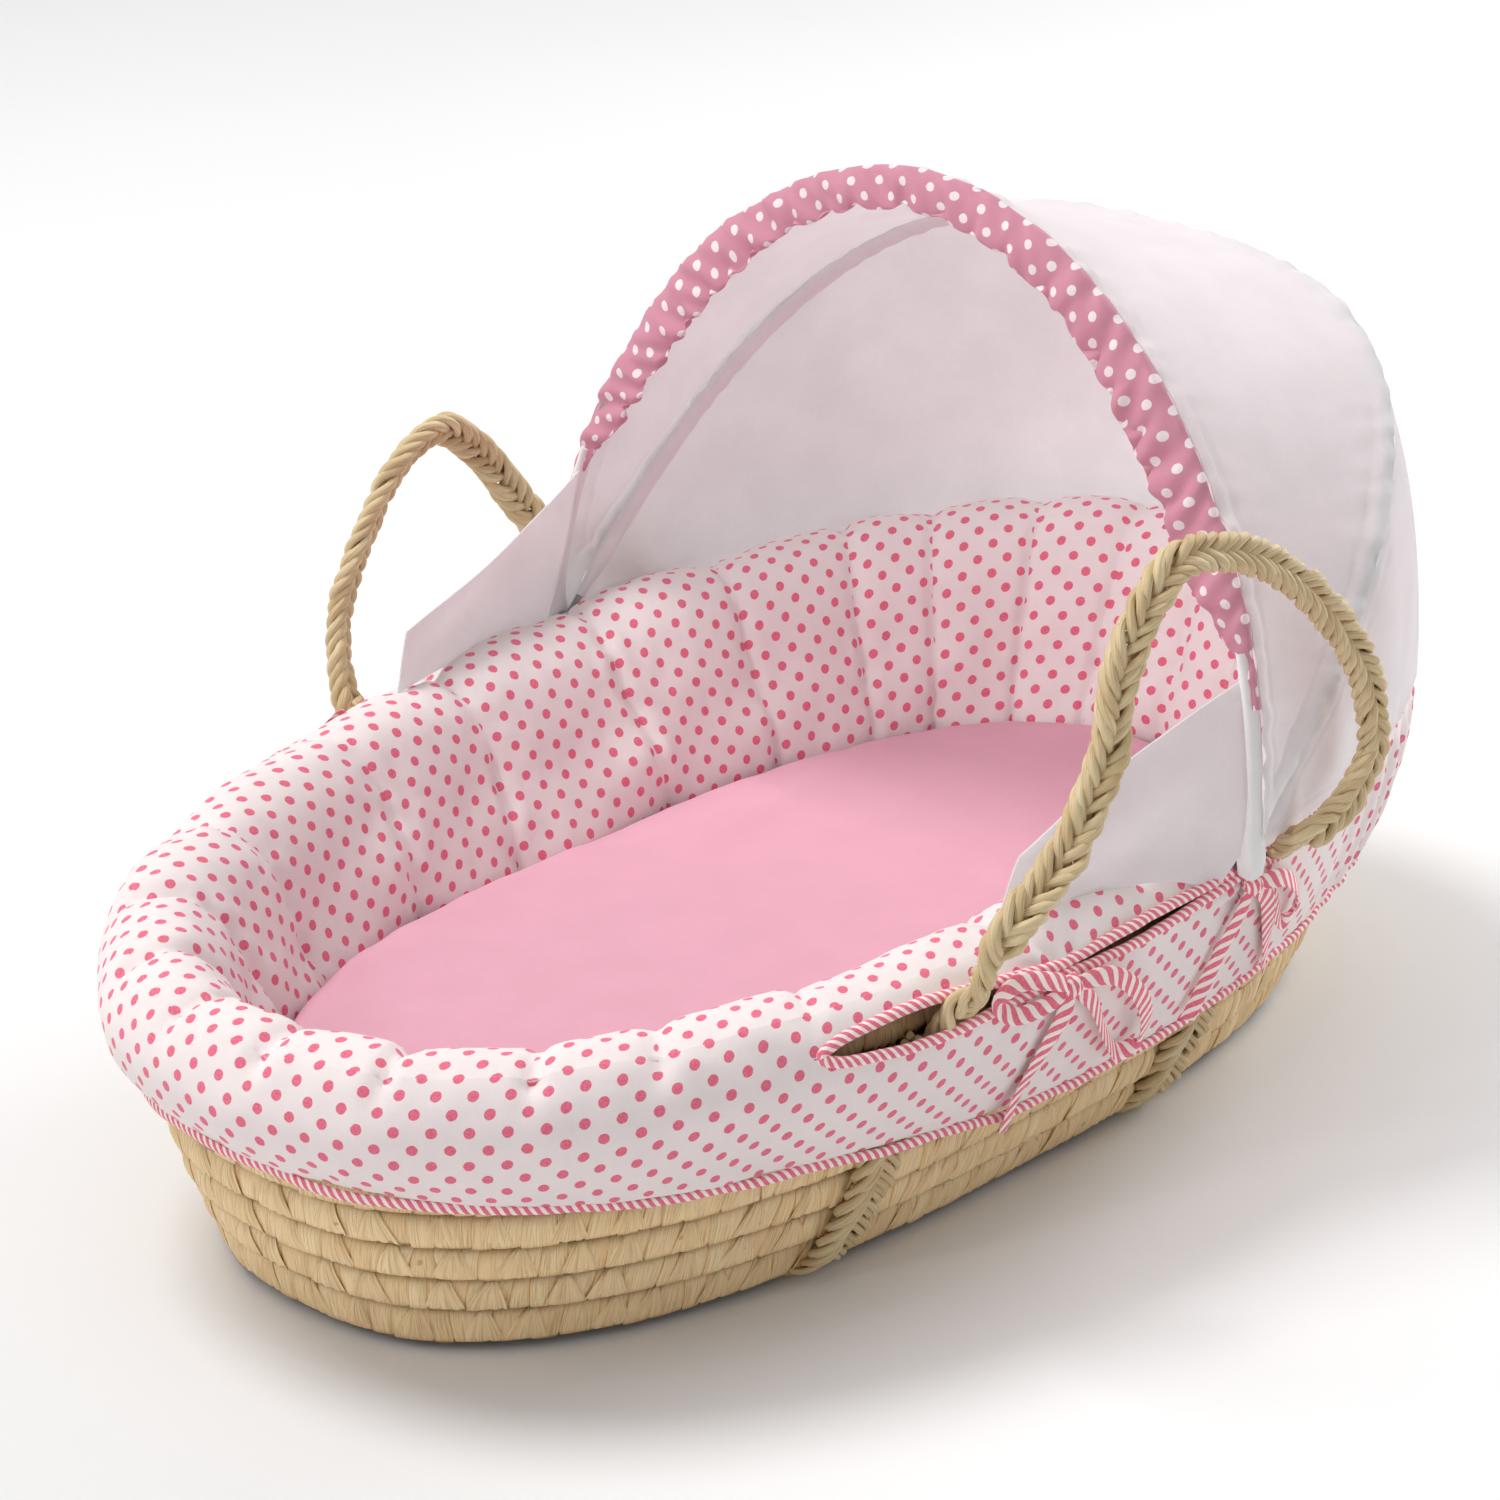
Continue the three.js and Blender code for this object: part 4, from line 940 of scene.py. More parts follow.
def make_pad():
    outline = resampled([(o, 0, z) for o, z in PAD_PROFILE] + [
        (PAD_RADIUS * math.cos(math.radians(a)), 0, RIM_HEIGHT + PAD_RADIUS * math.sin(math.radians(a)))
        for a in (140, 115, 90, SEAM_ANGLE)
    ], 0.0044)
    rows = [pad_point(o, z, TURNS) for o, _, z in outline[:-1]]
    rows.append(rim_point(PAD_RADIUS, SEAM_ANGLE, TURNS))
    face = np.stack(rows)
    normals = -grid_normals(face)
    travelled = lengths(face, axis=0)
    v = travelled - travelled[-1:]
    up = np.linspace(0, 1, len(rows))[:, None]
    seam_depth = smooth(up / 0.15) * (1 - 0.25 * up)
    relief = rim_relief(face, seam_depth)
    inside = smooth((0.80 - up) / 0.4) * smooth(up / 0.2)
    fold = ripple(face, 0.070, 35) * inside
    relief = relief + 0.0030 * powered(fold, 1.3)
    relief = lerp(relief, SKIRT_RELIEF_START, smooth((up - 0.9) / 0.1))
    face = face + normals * relief[..., None]
    face[-1] = SKIRT_START
    hidden = [rim_point(PAD_RADIUS - 0.003, SEAM_ANGLE - 1, TURNS)]
    hidden += [rim_point(RIM_COVER_RADIUS, angle, TURNS) for angle in (66, 120, 180)]
    hidden += [wall_point(-WALL_HALF - 0.003, h, TURNS) for h in (0.140, 0.090, 0.040, 0.0235)]
    whole = np.concatenate([face, np.stack(hidden)])
    left, right = panel_uv(whole, DARTS, REFERENCE)
    v_hidden = v[-1:] + np.arange(1, len(hidden) + 1)[:, None] * 0.02
    v = np.concatenate([v, np.broadcast_to(v_hidden, (len(hidden), COLUMNS))])
    uv = corner_uv(
        np.concatenate([left, left[:1]]), np.concatenate([right, right[:1]]), np.concatenate([v, v[:1]]))
    faces = grid_faces(len(whole), COLUMNS, closed=True, looped=True)
    piece = mesh_object("padded_liner", whole.reshape(-1, 3), faces.tolist(), DOTTED, uv=uv, sharp=60)
    place_on(piece, "root", "dotted_cotton", "liner_bumper")


TIES = (-0.067, 0.080)


def slit_half_angle(x, feet):
    """Half the slit's opening, in degrees round the rim, at a length along the basket."""
    left, right = SLIT_MIDDLE - SLIT_HALF_LENGTH, SLIT_MIDDLE + SLIT_HALF_LENGTH
    closed = 5.0
    first = np.clip((x - left) / (TIES[0] - left), 0, 1)
    wide = 10.5 * np.sin(np.pi * first**0.8) ** 0.8
    second = np.clip((x - TIES[0]) / 0.118, 0, 1)
    narrow = 4.0 * np.sin(np.pi * second) ** 1.4
    leg = 8 * hump(x - feet[1], 0.016)
    lift = 3 * hump(x - feet[0], 0.025)
    ends = np.sqrt(np.clip((x - left) / 0.012, 0, 1)) * np.sqrt(np.clip((right - x) / 0.012, 0, 1))
    return (closed + wide + narrow + leg + lift * (first < 1)) * ends


def lips(turn):
    """Angles round the rim of the slit's upper and lower edges, equal where there is no slit."""
    x, y = oval(RIM_HALF_LENGTH, RIM_HALF_WIDTH, RIM_SQUARENESS, turn)
    half = np.where(y < 0, slit_half_angle(x, NEAR_FEET), slit_half_angle(x, FAR_FEET))
    return slit_angle(x) + half, slit_angle(x) - half


GATHER_PITCH = 0.0235


def gathered(x):
    """How much the skirt is gathered, from 0 to 1, at a length along the basket."""
    return smooth((x - 0.17) / 0.10)


def skirt_relief(points, down):
    """Creases of the skirt: gathers at the head end, pulls round the ties, and soft ripples."""
    at = REFERENCE[:-1][None, :]
    folds = np.sin(TAU * at / GATHER_PITCH + 1.5 * ripple(points, 0.11, 41))
    relief = 0.0022 * gathered(points[..., 0]) * smooth((down - 0.15) / 0.5) * (powered(folds, 0.7) + 0.3)
    for tie in TIES:
        for side in (-1, 1):
            knot = np.array([tie, side * 0.249, RIM_HEIGHT + 0.002])
            away = points - knot
            distance = np.linalg.norm(away, axis=-1)
            around = np.arctan2(away[..., 2], away[..., 0])
            pulls = np.exp(-distance / 0.030) * np.sin(9 * around + tie * 40)
            relief = relief + 0.0022 * pulls * smooth(distance / 0.012)
    soft = ripple(points, 0.075, 43, stretch=(2.2, 1, 1))
    return relief + 0.0009 * soft + 0.0003 * ripple(points, 0.018, 44, stretch=(2, 1, 1))


ROLL_ROWS, FALL_ROWS = 9, 16
LEAVES_ROLL = -10


def skirt_rows():
    """Outer face of the skirt: rows above the slit's upper edge and rows below its lower edge."""
    upper_lip, lower_lip = lips(TURNS)
    shares = np.arange(ROLL_ROWS) / (ROLL_ROWS - 1)
    above = [rim_point(PAD_RADIUS, lerp(SEAM_ANGLE, upper_lip, share), TURNS) for share in shares]
    below = [rim_point(PAD_RADIUS, lerp(lower_lip, LEAVES_ROLL, share), TURNS) for share in shares]
    top, hem = below[-1], hem_point(HEM_OUT, 0.003, TURNS)
    for k in range(1, FALL_ROWS + 1):
        share = k / FALL_ROWS
        straight = lerp(top, hem, share)
        below.append(straight + 0.0035 * math.sin(math.pi * share) * unit(level(straight)))
    return np.stack(above), np.stack(below)


ABOVE, BELOW = skirt_rows()
SKIRT = np.concatenate([ABOVE, BELOW])
SKIRT_DOWN = np.concatenate([np.linspace(0, 0.25, len(ABOVE)), np.linspace(0.25, 1, len(BELOW))])[:, None]
SEAM_SHARE = smooth(1 - SKIRT_DOWN / 0.35)
BASE_RELIEF = skirt_relief(SKIRT, SKIRT_DOWN) + rim_relief(SKIRT, 0.75 * SEAM_SHARE) * SEAM_SHARE
SKIRT_RELIEF_START = BASE_RELIEF[0]
SKIRT_START = rim_point(PAD_RADIUS + SKIRT_RELIEF_START, SEAM_ANGLE, TURNS)


def make_skirt():
    normals = -grid_normals(SKIRT)
    face = SKIRT + normals * BASE_RELIEF[..., None]
    face[0] = SKIRT_START
    shut = np.linalg.norm(ABOVE[-1] - BELOW[0], axis=-1)[:, None] < 1e-6
    upper, lower = len(ABOVE) - 1, len(ABOVE)
    joined = (face[upper] + face[lower]) / 2
    for row in (upper, lower):
        face[row] = np.where(shut, joined, face[row])
    left, right = [np.broadcast_to(edge, (len(SKIRT), COLUMNS)) for edge in (REFERENCE[:-1], REFERENCE[1:])]
    travelled = lengths(ABOVE, axis=0)
    gap = np.linalg.norm(BELOW[0] - ABOVE[-1], axis=-1)[None, :]
    v = np.concatenate([travelled, travelled[-1:] + gap + lengths(BELOW, axis=0)])
    faces = grid_faces(len(ABOVE), COLUMNS, closed=True).tolist()
    faces += grid_faces(len(BELOW), COLUMNS, closed=True, start=lower * COLUMNS).tolist()
    parts = (slice(None, lower), slice(lower, None))
    uv = np.concatenate([corner_uv(left[part], right[part], v[part]) for part in parts])
    piece = mesh_object("liner_skirt_cloth", face.reshape(-1, 3), faces, DOTTED, uv=uv)
    piece.data.flip_normals()
    weld = piece.modifiers.new("weld", "WELD")
    weld.merge_threshold = 0.00001
    thicken(piece, 0.0014, -1.0, sharp=50)
    place_on(piece, "root", "dotted_cotton", "liner_skirt")
    hem_length = float(lengths(BELOW[-1])[-1])


def thicken(piece, thickness, offset, sharp):
    """Gives a cloth its thickness, and keeps the mesh that all its modifiers make."""
    solid = piece.modifiers.new("solid", "SOLIDIFY")
    solid.thickness = thickness
    solid.offset = offset
    bpy.context.view_layer.update()
    graph = bpy.context.evaluated_depsgraph_get()
    mesh = bpy.data.meshes.new_from_object(piece.evaluated_get(graph))
    piece.modifiers.clear()
    piece.data = mesh
    mesh.shade_smooth()
    mesh.set_sharp_from_angle(angle=math.radians(sharp))


def make_floor_pad():
    """The liner's thin floor, under the mattress."""
    inset = WALL_HALF + 0.002
    turns = even_turns(lambda t: wall_point(-inset, 0.002, t), 160)
    rows = []
    for out, z in ((-0.30, 0.0192), (-0.15, 0.0192), (-0.012, 0.0190), (-0.002, 0.0182), (0, 0.0172),
                   (-0.004, 0.0165), (-0.15, 0.0164), (-0.30, 0.0164)):
        x, y = oval(BASE_HALF_LENGTH - inset + out, max(0.004, BASE_HALF_WIDTH - inset + out * 0.48),
                    BASE_SQUARENESS, turns)
        rows.append(np.stack([x, y, z + 0 * x], -1))
    rows = np.stack(rows)
    around = np.arange(len(turns) + 1) * 0.01
    piece = tube_object("liner_floor_pad", rows, lengths(rows[:, 0]), around, DOTTED, sharp=50)
    place_on(piece, "root", "dotted_cotton", "liner_floor")


make_pad()
make_skirt()
make_floor_pad()

# ---- Striped bindings and ties ------------------------------------------------------------------------


def strip_rings(path, face, wide, thick, closed=False, power=2.0, count=10):
    """Rings of a flattened cord along a path; face is the way its flat side looks."""
    if closed:
        tangent = unit(np.roll(path, -1, axis=0) - np.roll(path, 1, axis=0))
    else:
        tangent = unit(np.gradient(path, axis=0))
    face = unit(face - (face * tangent).sum(-1, keepdims=True) * tangent)
    side = np.cross(tangent, face)
    across, up = oval(1.0, 1.0, power, np.arange(count) / count * TAU)
    wide = np.broadcast_to(wide, len(path))
    thick = np.broadcast_to(thick, len(path))
    return (path[:, None, :] + side[:, None, :] * (wide[:, None] * across)[..., None]
            + face[:, None, :] * (thick[:, None] * up)[..., None])


def closed_strip(name, path, face, wide, thick, material, count=10):
    rings = strip_rings(path, face, wide, thick, closed=True, count=count)
    along = lengths(np.vstack([path, path[:1]]))
    around = np.arange(count + 1) / count * TAU * (np.mean(wide) + np.mean(thick)) / 2
    faces = grid_faces(len(path), count, closed=True, looped=True)
    u = np.broadcast_to(along[:, None], (len(path) + 1, count + 1))
    v = np.broadcast_to(around[None, :], (len(path) + 1, count + 1))
    return mesh_object(name, rings.reshape(-1, 3), faces.tolist(), material, uv=grid_uv(u, v))


def make_hem():
    turns = even_turns(lambda t: hem_point(HEM_OUT, 0, t), 900)
    path = hem_point(HEM_OUT - 0.0006, 0, turns)
    face = unit(level(path))
    at = np.interp(turns, TURNS, REFERENCE[:-1])
    folds = 0.0016 * gathered(path[:, 0]) * np.sin(TAU * at / GATHER_PITCH)
    path = path + face * (folds + 0.0004 * ripple(path, 0.03, 50))[:, None]
    path[:, 2] += 0.0006 * ripple(path, 0.05, 51)
    piece = closed_strip("hem_binding_strip", path, face, 0.0029, 0.0016, STRIPED)
    place_on(piece, "root", "striped_binding", "hem_binding")


def make_slit_binding(side, label):
    dense = np.linspace(math.pi, TAU, 3000) if side < 0 else np.linspace(math.pi, 0, 3000)
    x = oval(RIM_HALF_LENGTH, RIM_HALF_WIDTH, RIM_SQUARENESS, dense)[0]
    inside = dense[np.abs(x - SLIT_MIDDLE) < SLIT_HALF_LENGTH]
    upper, lower = lips(inside)
    below, above = rim_point(PAD_RADIUS, lower, inside), rim_point(PAD_RADIUS, upper, inside)
    loop = np.vstack([below, above[::-1], below[:1]])
    travelled = lengths(loop)
    count = int(travelled[-1] / 0.002)
    at = np.arange(count) / count * travelled[-1]
    path = np.stack([np.interp(at, travelled, loop[:, k]) for k in range(3)], -1)
    centre = np.stack([path[:, 0], side * rim_half_width(path[:, 0]), risen(RIM_HEIGHT, path[:, 0])], -1)
    face = unit(path - centre)
    for _ in range(4):
        path = (np.roll(path, 1, axis=0) + 2 * path + np.roll(path, -1, axis=0)) / 4
    path = path + face * (0.0004 + 0.0004 * ripple(path, 0.02, 52))[:, None]
    piece = closed_strip(f"slit_binding_strip_{label}", path, face, 0.0030, 0.0022, STRIPED)
    place_on(piece, "root", "striped_binding", f"slit_binding_{label}")


HEM_HALF_LENGTH = 0.401


def skin_y(x, z):
    """How far out the skirt is, at a length and height on a long side."""
    half, rim = rim_half_width(x), risen(RIM_HEIGHT, x)
    up = z - rim
    if up > -0.005:
        return half + math.sqrt(max(0.0, PAD_RADIUS**2 - up**2))
    hem = hem_point(HEM_OUT, 0, np.array([math.acos(x / HEM_HALF_LENGTH)]))[0]
    share = np.clip((rim - 0.005 - z) / (rim - 0.005 - hem[2]), 0, 1)
    return lerp(half + 0.0295, abs(hem[1]), share) + 0.0035 * math.sin(math.pi * share)


RIBBON_HALF, RIBBON_THICK = 0.0049, 0.0008

# Runs of ribbon in a bow, in millimetres: along and up from the knot, and out from the skirt.
FOOT_TIE = [
    [(0, 0, 5), (-18, 9, 9), (-38, 13, 8), (-50, 5, 4), (-40, -4, 4), (-18, -4, 6), (0, 0, 4)],
    [(0, 0, 5), (22, 0, 10), (48, -20, 12), (68, -48, 9), (72, -62, 6), (60, -64, 5), (40, -46, 5),
     (16, -14, 6), (0, 0, 4)],
    [(0, 0, 4), (-4, -14, 6), (-11, -40, 4), (-16, -62, 5), (-21, -82, 7)],
]
HEAD_TIE = [
    [(0, 0, 4), (-8, -12, 6), (-17, -32, 5), (-22, -52, 5), (-27, -74, 7)],
    [(0, 0, 4), (14, -12, 7), (28, -34, 6), (40, -54, 6), (50, -74, 9)],
    [(0, 0, 5), (20, -2, 10), (42, -16, 10), (56, -36, 7), (52, -44, 5), (36, -30, 5), (18, -12, 6),
     (0, 0, 4)],
]


def make_tie(name, node, side, x, z, runs, seed):
    pile = Pile()
    for number, run in enumerate(runs):
        points = []
        for dx, dz, lift in run:
            px, pz = x + dx * MM, z + dz * MM
            points.append((px, side * (skin_y(px, pz) + lift * MM), pz))
        path = resampled(points, 0.002)
        face = np.tile([0.0, side * 1.0, 0.25], (len(path), 1))
        travelled = lengths(path)
        roll = 0.35 * np.sin(travelled / 0.030 + number * 2 + seed)
        face = face + np.stack([roll, 0 * roll, roll * 0.5], -1)
        looped = run[-1][:2] == (0, 0)
        from_knot = np.minimum(travelled, travelled[-1] - travelled) if looped else travelled
        half = RIBBON_HALF * lerp(0.72, 1.0, smooth(from_knot / 0.014))
        rings = strip_rings(path, face, half, RIBBON_THICK, power=3.0, count=12)
        v = np.arange(13) / 12 * 3 * RIBBON_HALF
        pile.tube(rings, travelled * 0.62 + number * 0.31, v, 0)
    knot = np.array([x, side * (skin_y(x, z) + 0.0045), z])
    steps = np.linspace(-1, 1, 15)
    path = knot + steps[:, None] * np.array([0.0066, 0, -0.0030])
    bulk = np.sqrt(np.clip(1 - steps**2, 0.02, 1)) * (1 + 0.10 * np.cos(steps * 8))
    face = np.tile([0.0, side * 1.0, 0.2], (15, 1))
    rings = strip_rings(path, face, 0.0062 * bulk, 0.0044 * bulk, count=12)
    pile.tube(rings, lengths(path), np.arange(13) / 12 * 0.03, 0)
    piece = place_on(pile.build(name, STRIPED, sharp=70), "root", "striped_binding", node)
    ribbon = sum(float(lengths(resampled(np.array(r, float) * MM, 0.002))[-1]) for r in runs)


make_hem()
for side, label in ((-1, "near"), (1, "far")):
    make_slit_binding(side, label)
    make_tie(f"ribbon_{label}_foot", f"tie_{label}_foot", side, TIES[0], 0.1605, FOOT_TIE, 1)
    make_tie(f"ribbon_{label}_head", f"tie_{label}_head", side, TIES[1], 0.1665, HEAD_TIE, 2)

# ---- Mattress and fitted sheet --------------------------------------------------------------------------


def mattress_ring(out, height, turns):
    x, y = oval(MATTRESS_HALF_LENGTH + out, MATTRESS_HALF_WIDTH + out, BASE_SQUARENESS, turns)
    return np.stack([x, y, height + 0 * x], -1)


def edge_ring(inset, height, radius, angle, turns):
    """A ring on a rounded edge, whose centre line lies this far inside the mattress's side."""
    angle = math.radians(angle)
    return mattress_ring(-inset + radius * math.cos(angle), height + radius * math.sin(angle), turns)


def make_mattress():
    turns = even_turns(lambda t: mattress_ring(0, 0, t), 200)
    round_, low, high = 0.012, 0.036, 0.086
    rows = [mattress_ring(-0.14, low - round_, turns), mattress_ring(-round_, low - round_, turns)]
    rows += [edge_ring(round_, low, round_, angle, turns) for angle in range(-80, 0, 20)]
    for height in (0.045, 0.060, 0.075, high):
        belly = 0.0012 * math.sin(math.pi * (height - low) / (high - low))
        rows.append(mattress_ring(belly, height, turns))
    rows += [edge_ring(round_, high, round_, angle, turns) for angle in range(10, 91, 16)]
    rows.append(mattress_ring(-0.14, high + round_, turns))
    rows = np.stack(rows)
    around = np.arange(len(turns) + 1) * 0.008
    piece = tube_object("foam_mattress", rows, lengths(rows[:, 0]), around, FOAM, sharp=60)
    place_on(piece, "root", "foam", "mattress_core")


SHEET_TOP, SHEET_CROWN, SHEET_PROUD = 0.1030, 0.0035, 0.0026


def make_fitted_sheet():
    turns = even_turns(lambda t: mattress_ring(0, 0, t), 320)
    shares = np.concatenate([np.linspace(0.02, 0.9, 30), np.linspace(0.92, 1.0, 8)])
    edge_x, edge_y, _ = np.moveaxis(mattress_ring(-0.010, 0, turns), -1, 0)
    rows = []
    for share in shares:
        height = SHEET_TOP + SHEET_CROWN * (1 - share**3)
        rows.append(np.stack([edge_x * share, edge_y * share, height + 0 * edge_x], -1))
    radius = 0.010 + SHEET_PROUD
    rows += [edge_ring(0.010, SHEET_TOP - radius, radius, angle, turns) for angle in (70, 50, 30, 10)]
    rows += [mattress_ring(SHEET_PROUD, height, turns) for height in (0.075, 0.055, 0.040, 0.031)]
    grid = np.stack(rows)
    flat = level(grid)
    edge = smooth((np.linalg.norm(flat / np.array([0.32, 0.148, 1]), axis=-1) - 0.55) / 0.4)
    creases = 0.0011 * ripple(flat, 0.16, 61, stretch=(1, 2, 1))
    creases += 0.0007 * edge * ripple(flat, 0.035, 62)
    long_crease = ripple(flat, 0.22, 63, stretch=(3, 1, 1))
    creases += 0.0012 * hump(long_crease, 0.12)
    creased_rows = len(shares) + 2
    grid[:creased_rows, :, 2] += creases[:creased_rows]
    columns = len(turns)
    centre = np.array([[0, 0, grid[0, :, 2].mean()]])
    points = np.concatenate([grid.reshape(-1, 3), centre])
    faces = grid_faces(len(rows), columns, closed=True).tolist()
    uv_plane = points[:, :2].copy()
    drop = np.maximum(0, 0.100 - points[:, 2])[:, None]
    uv_plane += unit(points[:, :2]) * drop
    faces += [[len(points) - 1, (k + 1) % columns, k] for k in range(columns)]
    loops = np.concatenate([np.asarray(f) for f in faces])
    piece = mesh_object("stretched_sheet", points, faces, PINK_SHEET, uv=uv_plane[loops])
    thicken(piece, 0.0012, 0.0, sharp=60)
    place_on(piece, "root", "pink_sheet", "fitted_sheet")


def make_elastic():
    turns = even_turns(lambda t: mattress_ring(0, 0, t), 400)
    path = mattress_ring(0.0023, 0.0277, turns)
    path = path + unit(level(path)) * (0.0005 * np.sin(np.arange(len(turns)) * 1.3))[:, None]
    face = unit(level(path))
    piece = closed_strip("gathered_elastic", path, face, 0.0018, 0.0009, ELASTIC, count=8)
    place_on(piece, "root", "elastic", "sheet_elastic")


make_mattress()
make_fitted_sheet()
make_elastic()

# ---- Hood ------------------------------------------------------------------------------------------------


def hoop_path(hoop, from_up, count):
    """Even points along a hoop between this height above each foot, their inward and forward ways."""
    start = turn_at(hoop, from_up)
    dense = np.linspace(start, 180 - start, 2000)
    points = hoop_point(hoop, dense)
    travelled = lengths(points)
    turns = np.interp(np.linspace(0, travelled[-1], count), travelled, dense)
    path = hoop_point(hoop, turns)
    angle = math.radians(hoop["angle"])
    forward = np.array([-math.sin(angle), 0, math.cos(angle)])
    tangent = unit(np.gradient(path, axis=0))
    inward = unit(np.cross(tangent, np.broadcast_to(forward, path.shape)))
    middle = np.array([PIVOT.x, 0, PIVOT.z])
    flip = np.sign(((middle - path) * inward).sum(-1, keepdims=True))
    return path, inward * flip, np.broadcast_to(forward, path.shape), lengths(path)


SLEEVE_HALF, SLEEVE_HALF_THICK, SLEEVE_OUTSIDE_WIRE = 0.0122, 0.0058, 0.0052
SLEEVE_LEAN = math.radians(12)


def make_sleeve():
    """A gathered tube of dotted cotton, laid flat inwards from the front hoop."""
    path, inward, forward, travelled = hoop_path(FRONT_HOOP, SLEEVE_START - 0.012, 620)
    total = travelled[-1]
    share = travelled / total
    from_end = np.minimum(travelled, total - travelled)
    mid_leg = hump(np.abs(share - 0.5) - 0.30, 0.13)
    half = (SLEEVE_HALF + 0.0040 * mid_leg) * lerp(0.25, 1.0, smooth(from_end / 0.080))
    flat = np.stack([travelled, 0 * travelled], -1)
    rng = np.random.default_rng(71)
    pinches = np.cumsum(rng.uniform(0.018, 0.038, 60))
    gap = np.abs(travelled[:, None] - pinches[None, :]).min(1)
    count = 22
    angles = np.arange(count) / count * TAU
    c, s = np.cos(angles), np.sin(angles)
    thick = SLEEVE_HALF_THICK * lerp(0.6, 1, smooth(from_end / 0.1))
    loose = half * (1 + 0.05 * ripple(flat, 0.05, 72))
    hanging = inward * math.cos(SLEEVE_LEAN) + forward * math.sin(SLEEVE_LEAN)
    flat_side = forward * math.cos(SLEEVE_LEAN) - inward * math.sin(SLEEVE_LEAN)
    reach = loose[:, None] * c + (half - SLEEVE_OUTSIDE_WIRE)[:, None]
    pull = 0.0040 * hump(gap, 0.006) * (0.4 + 0.6 * np.abs(ripple(flat, 0.09, 74)))
    reach = reach - (pull * smooth(from_end / 0.05))[:, None] * np.clip(c, 0, 1) ** 2
    depth = thick[:, None] * powered(s, 0.9) * lerp(1.0, 0.5, (c + 1) / 2)
    skew = np.stack(np.broadcast_arrays(travelled[:, None] + 0.5 * reach, reach * 0.45), -1)
    creases = powered(ripple(skew, 0.016, 73, waves=22), 0.8)
    relief = 0.0017 * creases * smooth(from_end / 0.03)[:, None]
    valley = 0.0022 * hump(gap, 0.004)[:, None] * np.clip(c + 0.5, 0, 1)
    depth = depth + np.sign(s) * (relief - valley) * (np.abs(s) > 0.05)
    rings = (path[:, None, :] + hanging[:, None, :] * reach[..., None]
             + flat_side[:, None, :] * depth[..., None])
    outline = np.stack([np.append(c, c[0]) * 0.0140, np.append(s, s[0]) * 0.0050], -1)
    piece = tube_object("gathered_sleeve", rings, travelled * 1.08, lengths(outline), PINK_DOTTED, sharp=80)
    place_on(piece, "hood_front", "pink_dotted_sleeve", "front_sleeve")


CASING_HALF_WIDTH, CASING_HALF_THICKNESS = 0.0055, 0.0025


def make_leg_channels():
    """White casings down both legs of the front hoop, rounded over the pivots."""
    for side, label in ((-1, "near"), (1, "far")):
        ups = np.linspace(0.0005, SLEEVE_START + 0.016, 66)
        turns = np.array([turn_at(FRONT_HOOP, u) for u in ups])
        path = hoop_point(FRONT_HOOP, turns if side < 0 else 180 - turns)
        half = CASING_HALF_WIDTH + 0.0004 * ripple(path, 0.03, 80)
        thick = CASING_HALF_THICKNESS + 0.0004 * ripple(path, 0.02, 81)
        thick = thick + 0.0036 * hump(ups, 0.016)
        half = half + 0.0028 * hump(ups, 0.014)
        face = np.tile([0.0, side * 1.0, 0.1], (len(path), 1))
        round_end = np.sqrt(np.clip(1 - (1 - np.clip((ups + 0.004) / 0.008, 0, 1)) ** 2, 0.05, 1))
        path = np.vstack([path[0] - np.array([0, 0, 0.009]), path[0] - np.array([0, 0, 0.006]), path])
        face = np.vstack([face[:2], face])
        half = np.concatenate([[0.003, 0.0068], half * np.maximum(round_end, 0.95)])
        thick = np.concatenate([[0.003, 0.0056], thick])
        rings = strip_rings(path, face, half, thick, power=2.6, count=16)
        around = np.linspace(0, 0.036, 17)
        piece = tube_object(f"leg_casing_{label}", rings, lengths(path), around, WHITE_TAPE, sharp=70)
        place_on(piece, "hood_front", "white_cotton", f"front_channel_{label}")


def make_rear_channel():
    """White casing over the rear hoop, tapered towards its feet."""
    path, inward, _, travelled = hoop_path(REAR_HOOP, CHANNEL_START - 0.010, 520)
    pucker = ripple(np.stack([travelled, 0 * travelled], -1), 0.012, 83)
    full = smooth(np.minimum(travelled, travelled[-1] - travelled) / 0.030)
    half = lerp(0.0027, 0.0056 + 0.0004 * pucker, full)
    thick = lerp(0.0025, 0.0034 + 0.0003 * pucker, full)
    rings = strip_rings(path, -inward, half, thick, power=2.2, count=14)
    piece = tube_object("rear_casing", rings, travelled, np.linspace(0, 0.032, 15), WHITE_TAPE, sharp=70)
    place_on(piece, "hood_rear", "white_cotton", "rear_channel")


CLOTH_THICKNESS = 0.0009
CANOPY_COLUMNS = 260
OVER_WIRE = 0.0050
STITCH_WIDTH = 0.0014
PUCKER_SIZE, PUCKER_DRAWN_OUT, PUCKER_REACH = 0.0145, 0.35, 0.018


def hood_cloth(name, node, grid, normals, u, v):
    """A white cloth of the hood whose outer face is the grid, in place of a CAD node."""
    piece = sheet_object(name, grid, normals, CLOTH_THICKNESS, WHITE_COTTON, u, v)
    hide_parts(node)
    return piece


def blend_by(piece, a, b, start, end, weights):
    """Bends a hood cloth between two bodies by a share for each point of its grid, not by a ramp."""
    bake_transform(piece, a, b, start=start, end=end)
    layer = piece.data.attributes["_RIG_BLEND"]
    both_faces = np.tile(np.asarray(weights, np.float32).ravel(), 2)
    layer.data.foreach_set("value", both_faces)


def panel(first, second, across):
    """A grid from one edge to another, and each row's share of the way."""
    shares = np.linspace(0, 1, across)
    return lerp(first[None], second[None], shares[:, None, None]), shares[:, None]


